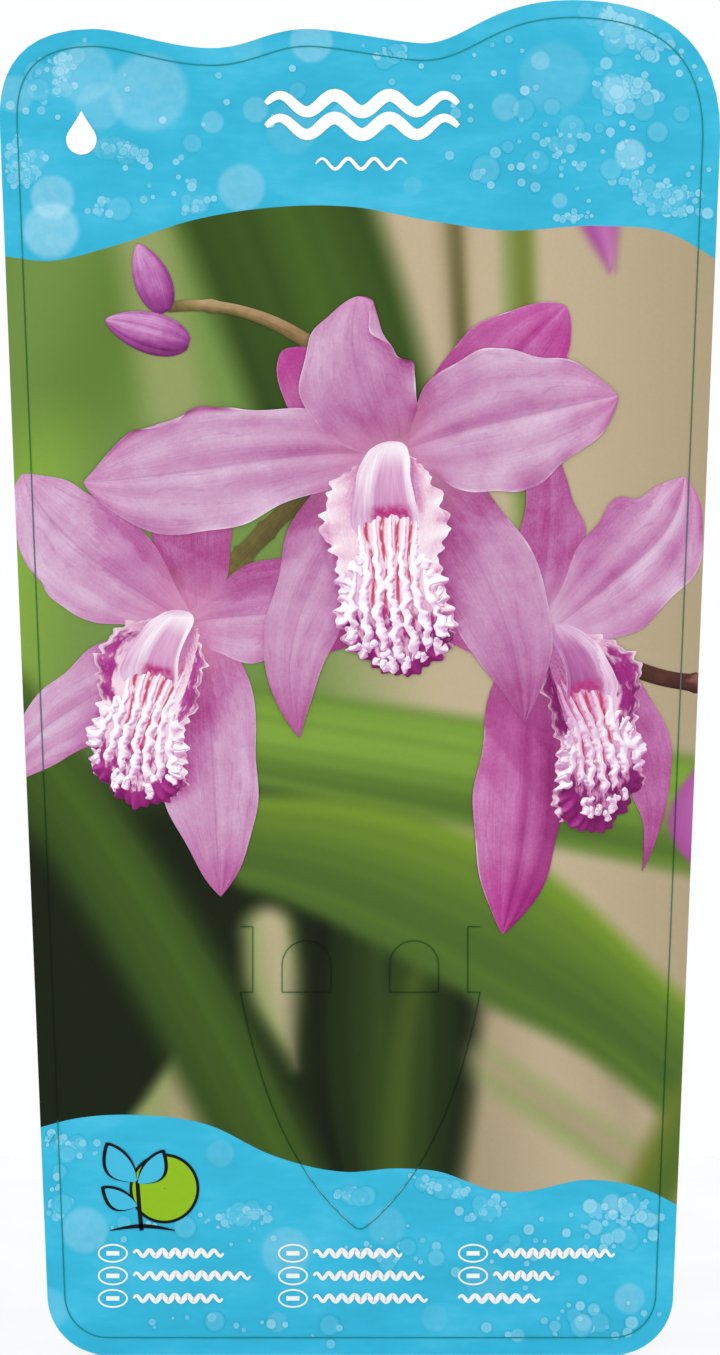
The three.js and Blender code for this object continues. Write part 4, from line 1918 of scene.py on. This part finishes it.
# The numbers of a petal that aren't named: angle, length, half its width, lift, turn, cup and roll.
BLOOMS = (
    Bloom("hidden", (6.0, 53.0, -2.0), 0.95, 0, 0, 0, (  # behind the front one: only two petals show
        Blade(58, 30, 6.2, (20, 0, -18), (0, -6, -16), (26, 12, -6), (0, -8, -18),
              widest=0.55, point=0.62, hem=26, tint=0.8, seed=81),
        Blade(126, 24, 5.6, (20, 0, -18), (0, 6, 12), (26, 12, -6), (0, 8, 16),
              widest=0.52, point=0.66, hem=24, tint=0.6, seed=82),
    ), REAR_INK),
    Bloom("left", (-19.5, 38.5, -8.0), 0.92, -28, -4, -14, (  # partly behind the front one
        Blade(94, 27, 6.2, (28, 4, -20), (0, 8, 12), (28, 12, -8), (0, -10, -20),
              widest=0.5, point=0.74, hem=26, start=(0, 0, -2), seed=61),
        Blade(-124, 36, 6.2, (20, 4, -30), (0, -14, 8), (4, -26, -22), (0, 10, 24),
              widest=0.44, point=0.92, hem=18, ragged=0.07, start=(0, 0, -2), seed=64),
        Blade(-54, 36, 6.6, (22, 4, -30), (0, -16, -34), (26, 18, 4), (-8, -14, -30),
              widest=0.44, point=0.88, hem=26, ragged=0.08, start=(0, 0, -2), seed=65),
        Blade(160, 31, 7.0, (28, 4, -26), (0, -4, -18), (28, 10, -12), (6, 12, 24),
              widest=0.54, point=0.76, hem=40, waves=1.6, ragged=0.09,
              fold=(1, 0.66, 0.30, 0.14), seed=62),
        Blade(20, 28, 6.6, (24, 2, -20), (0, -6, -14), (28, 10, -6), (-6, -10, -16),
              widest=0.55, point=0.74, hem=34, ragged=0.08, tint=0.15, seed=63),
    ), REAR_INK, Lip(-90, 25.5, 6.8, (46, 24, 0, -32), margin=0.55, apron=0.68, seed=73)),
    Bloom("right", (21.0, 37.0, 2.0), 0.95, 40, -6, 12, (  # looks to the right
        Blade(88, 28, 6.0, (30, 0, -30), (0, -14, -34), (30, 10, -12), (0, 12, 30),
              widest=0.5, point=0.82, hem=28, ragged=0.08, start=(0, 0, -2), seed=41),
        Blade(-110, 37, 7.0, (10, -4, -32), (0, 8, 14), (-14, -30, -34), (0, 10, 20),
              widest=0.46, point=0.84, hem=20, ragged=0.07, start=(0, 0, -2), tint=0.75, seed=44),
        Blade(-44, 36, 5.8, (22, 0, -34), (0, -22, -52), (24, 20, 6), (-10, -14, -30),
              widest=0.44, point=0.92, hem=26, ragged=0.07, start=(0, 0, -2), seed=45),
        Blade(152, 30, 6.4, (28, 6, -14), (0, 8, 14), (26, 10, -6), (6, 10, 16),
              widest=0.52, point=0.72, hem=28, seed=42),
        Blade(30, 32, 7.0, (24, 0, -34), (0, -4, 12), (28, 10, -12), (-6, -10, -26),
              widest=0.50, point=0.86, hem=36, ragged=0.09, seed=43),
    ), RIGHT_INK, Lip(-90, 26, 6.8, (46, 24, 2, -30), margin=0.45, apron=0.62, seed=52)),
    Bloom("front", (4.0, 58.0, 22.0), 1.0, -14, -4, 4, (  # faces the viewer
        Blade(104, 21, 7.2, (52, 12, -34), (0, -2, -30), (38, 14, -14), (0, -10, -34),
              widest=0.60, point=0.54, hem=38, ragged=0.09, fold=(-1, 0.80, 0.30, 0.30), seed=21),
        Blade(-132, 37, 6.0, (26, 12, -30), (0, 14, 52), (14, -26, -22), (0, 16, 30),
              widest=0.42, point=0.92, hem=18, ragged=0.07, start=(-0.6, -0.6, -3.0), seed=25),
        Blade(-50, 36, 6.2, (28, 6, -30), (0, -16, -52), (22, 28, 14), (-10, -18, -38),
              widest=0.42, point=0.94, hem=26, ragged=0.07, start=(0.8, -0.8, -3.0), seed=24),
        Blade(172, 38, 7.2, (30, 4, -26), (0, 12, 10), (32, 12, -12), (4, 12, 26),
              widest=0.56, point=0.78, hem=42, waves=1.5, ragged=0.09,
              fold=(-1, 0.70, 0.30, 0.14), seed=22),
        Blade(16, 29, 7.8, (32, 4, -34), (0, -6, -12), (30, 10, -18), (-6, -6, -20),
              widest=0.56, point=0.70, hem=46, waves=1.9, ragged=0.10, seed=23),
    ), FRONT_INK, Lip(-90, 27.5, 6.5, (46, 24, 0, -34), margin=0.9, seed=31)),
)
STEMS = (
    Stem("print_stem", ((44, 31.6, -30), (31, 31.2, -31), (20, 31, -31), (9, 62, -27), (-4, 77, -24),
                        (-22, 74.6, -22)), (1.2, 0.9, 0.9, 0.9, 0.8, 0.6), (1.0, 0.4)),
    Stem("print_ovary_right", ((6, 56, -14), (14, 50, -8), (20, 39, -1)), (0.7, 1.0, 1.6, 1.3), (0.1, 0.9)),
    Stem("print_ovary_left", ((2, 60, -22), (-8, 53, -18), (-17, 42, -17)), (0.6, 0.8, 1.1, 1.2), (0.9, 0.1)),
)
BUDS = (
    Bud("print_bud_upper", (-22.3, 74.0, -20.0), 112, 8.5, 2.1),
    Bud("print_bud_lower", (-19.6, 70.4, -18.0), 164, 10.0, 2.4),
)


# ---- studio


@dataclass
class Studio:
    """A pale floor, soft light and a camera that looks straight at the printed face. In metres."""

    sheet: Sheet
    lens: float = 90.0  # millimetres
    sensor: float = 36.0  # millimetres
    floor_half_width: float = 0.5
    floor_depth: float = 0.16
    sky: Row = (0.985, 0.99, 1.0, 1.0)
    lamp_size: float = 0.7

    LAMPS: ClassVar = (  # name, place and watts
        ("key", (-0.8, -1.2, 0.35), 0.75),
        ("fill", (1.0, -1.1, 0.0), 0.6),
        ("rear", (0.3, 1.2, 0.8), 1.0),
    )

    def camera(self) -> None:
        """Sets the camera so that the height of the sheet fills the frame."""
        low, high = self.sheet.outline.min(0) * MM, self.sheet.outline.max(0) * MM
        data = bpy.data.cameras.new("camera")
        data.lens = self.lens
        data.sensor_width = self.sensor
        thing = shown("camera", data)
        distance = (high[1] - low[1]) * self.lens / self.sensor
        thing.location = ((low[0] + high[0]) / 2, -self.sheet.front * MM - distance, (low[1] + high[1]) / 2)
        thing.rotation_euler = (math.pi / 2, 0.0, 0.0)
        bpy.context.scene.camera = thing

    def floor(self) -> None:
        """A pale floor under the lower edge of the sheet, as a grid."""
        s, t = unit_grid(9, 9)
        level = self.sheet.outline[:, 1].min() * MM
        width = (s * 2 - 1) * self.floor_half_width
        points = np.stack([width, t * self.floor_depth, np.full_like(s, level)], axis=-1)
        quads = cells_of(np.arange(s.size).reshape(s.shape))
        mesh = bpy.data.meshes.new("floor")
        mesh.from_pydata(points.reshape(-1, 3).tolist(), [], quads.reshape(-1, 4).tolist())
        graph = InkGraph("floor_paint")
        paint = graph.ramp(graph.noise(graph.place(), 0.05, 2.0), [(0.3, "f8f9fa"), (0.7, "fcfcfd")])
        mesh.materials.append(graph.finish(paint, roughness=0.9))
        thing = shown("floor", mesh)

    def lights(self) -> None:
        """An even white sky, and soft lamps in front of the sheet and behind it."""
        scene = bpy.context.scene
        scene.view_settings.view_transform = "Standard"
        scene.view_settings.look = "None"
        world = bpy.data.worlds.new("studio_sky")
        world.use_nodes = True
        world.node_tree.nodes["Background"].inputs["Color"].default_value = self.sky
        scene.world = world
        target = Vector((0.0, 0.0, self.sheet.middle[1] * MM))
        for name, place, power in self.LAMPS:
            data = bpy.data.lights.new(name, "AREA")
            data.shape = "DISK"
            data.size = self.lamp_size
            data.energy = power
            thing = shown(name, data)
            thing.location = place
            thing.rotation_mode = "QUATERNION"
            thing.rotation_quaternion = (target - Vector(place)).to_track_quat("-Z", "Y")

    def build(self) -> None:
        """Sets the studio up."""
        self.camera()
        self.floor()
        self.lights()


# ---- all of it


BOKEH: Table = (
    (-24.2, 99.2, 4.6, 0.34), (-29.9, 97.6, 2.8, 0.26), (-31.6, 101.4, 3.5, 0.30), (-35.4, 83.4, 3.3, 0.58),
    (-35.2, 87.2, 2.6, 0.46), (-5.6, 105.0, 2.5, 0.40), (-13.6, 88.3, 2.8, 0.36), (-12.0, 97.2, 1.5, 0.26),
    (-7.8, 95.0, 3.0, 0.13), (22.2, 101.0, 4.1, 0.15), (16.6, 97.5, 1.6, 0.30), (20.6, 102.8, 1.1, 0.34),
    (30.9, 92.1, 1.8, 0.66), (30.0, 107.2, 3.0, 0.22), (29.2, 99.4, 1.6, 0.44), (-16.9, 95.8, 1.3, 0.32),
    (-13.0, 104.5, 1.9, 0.14), (22.8, 86.8, 0.9, 0.34), (6.0, 88.5, 1.1, 0.12), (-39.5, 99.0, 2.2, 0.26),
    (-31.5, -31.0, 2.7, 0.34), (-8.5, -33.5, 2.9, 0.30), (30.8, -38.8, 1.8, 0.34), (28.8, -28.0, 1.2, 0.40),
    (3.0, -30.5, 2.2, 0.16), (14.5, -37.0, 2.4, 0.12), (-36.0, -40.0, 2.6, 0.20), (-16.0, -22.2, 1.6, 0.16),
    (25.5, -41.5, 1.0, 0.34), (18.0, -43.0, 0.8, 0.4), (-9.5, -41.5, 1.2, 0.2), (8.5, -41.0, 1.6, 0.14),
)


def main() -> None:
    """Builds the label in order."""
    logging.basicConfig(level=logging.INFO, format="%(message)s")
    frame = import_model()
    sheet = Sheet(frame["nodes"][SHEET_NODE])
    Studio(sheet).build()
    sheet.node.data.materials.clear()
    sheet.node.data.materials.append(material_of(WaterPrint("printed_plastic", BOKEH)))
    LOG.info("%s: dressed", SHEET_NODE)
    relief = Relief(sheet)
    flowers = [piece for bloom in BLOOMS for piece in bloom.pieces()]
    for piece in [part.piece() for part in (*STEMS, *BUDS)] + flowers:
        relief.add(piece)
    garden = Garden(relief)
    garden.build()
    relief.build()
    Bubbles(relief, WaterPrint("bubble_print", BOKEH)).build()
    Marks(relief, garden).build()


if __name__ == "__main__":
    main()
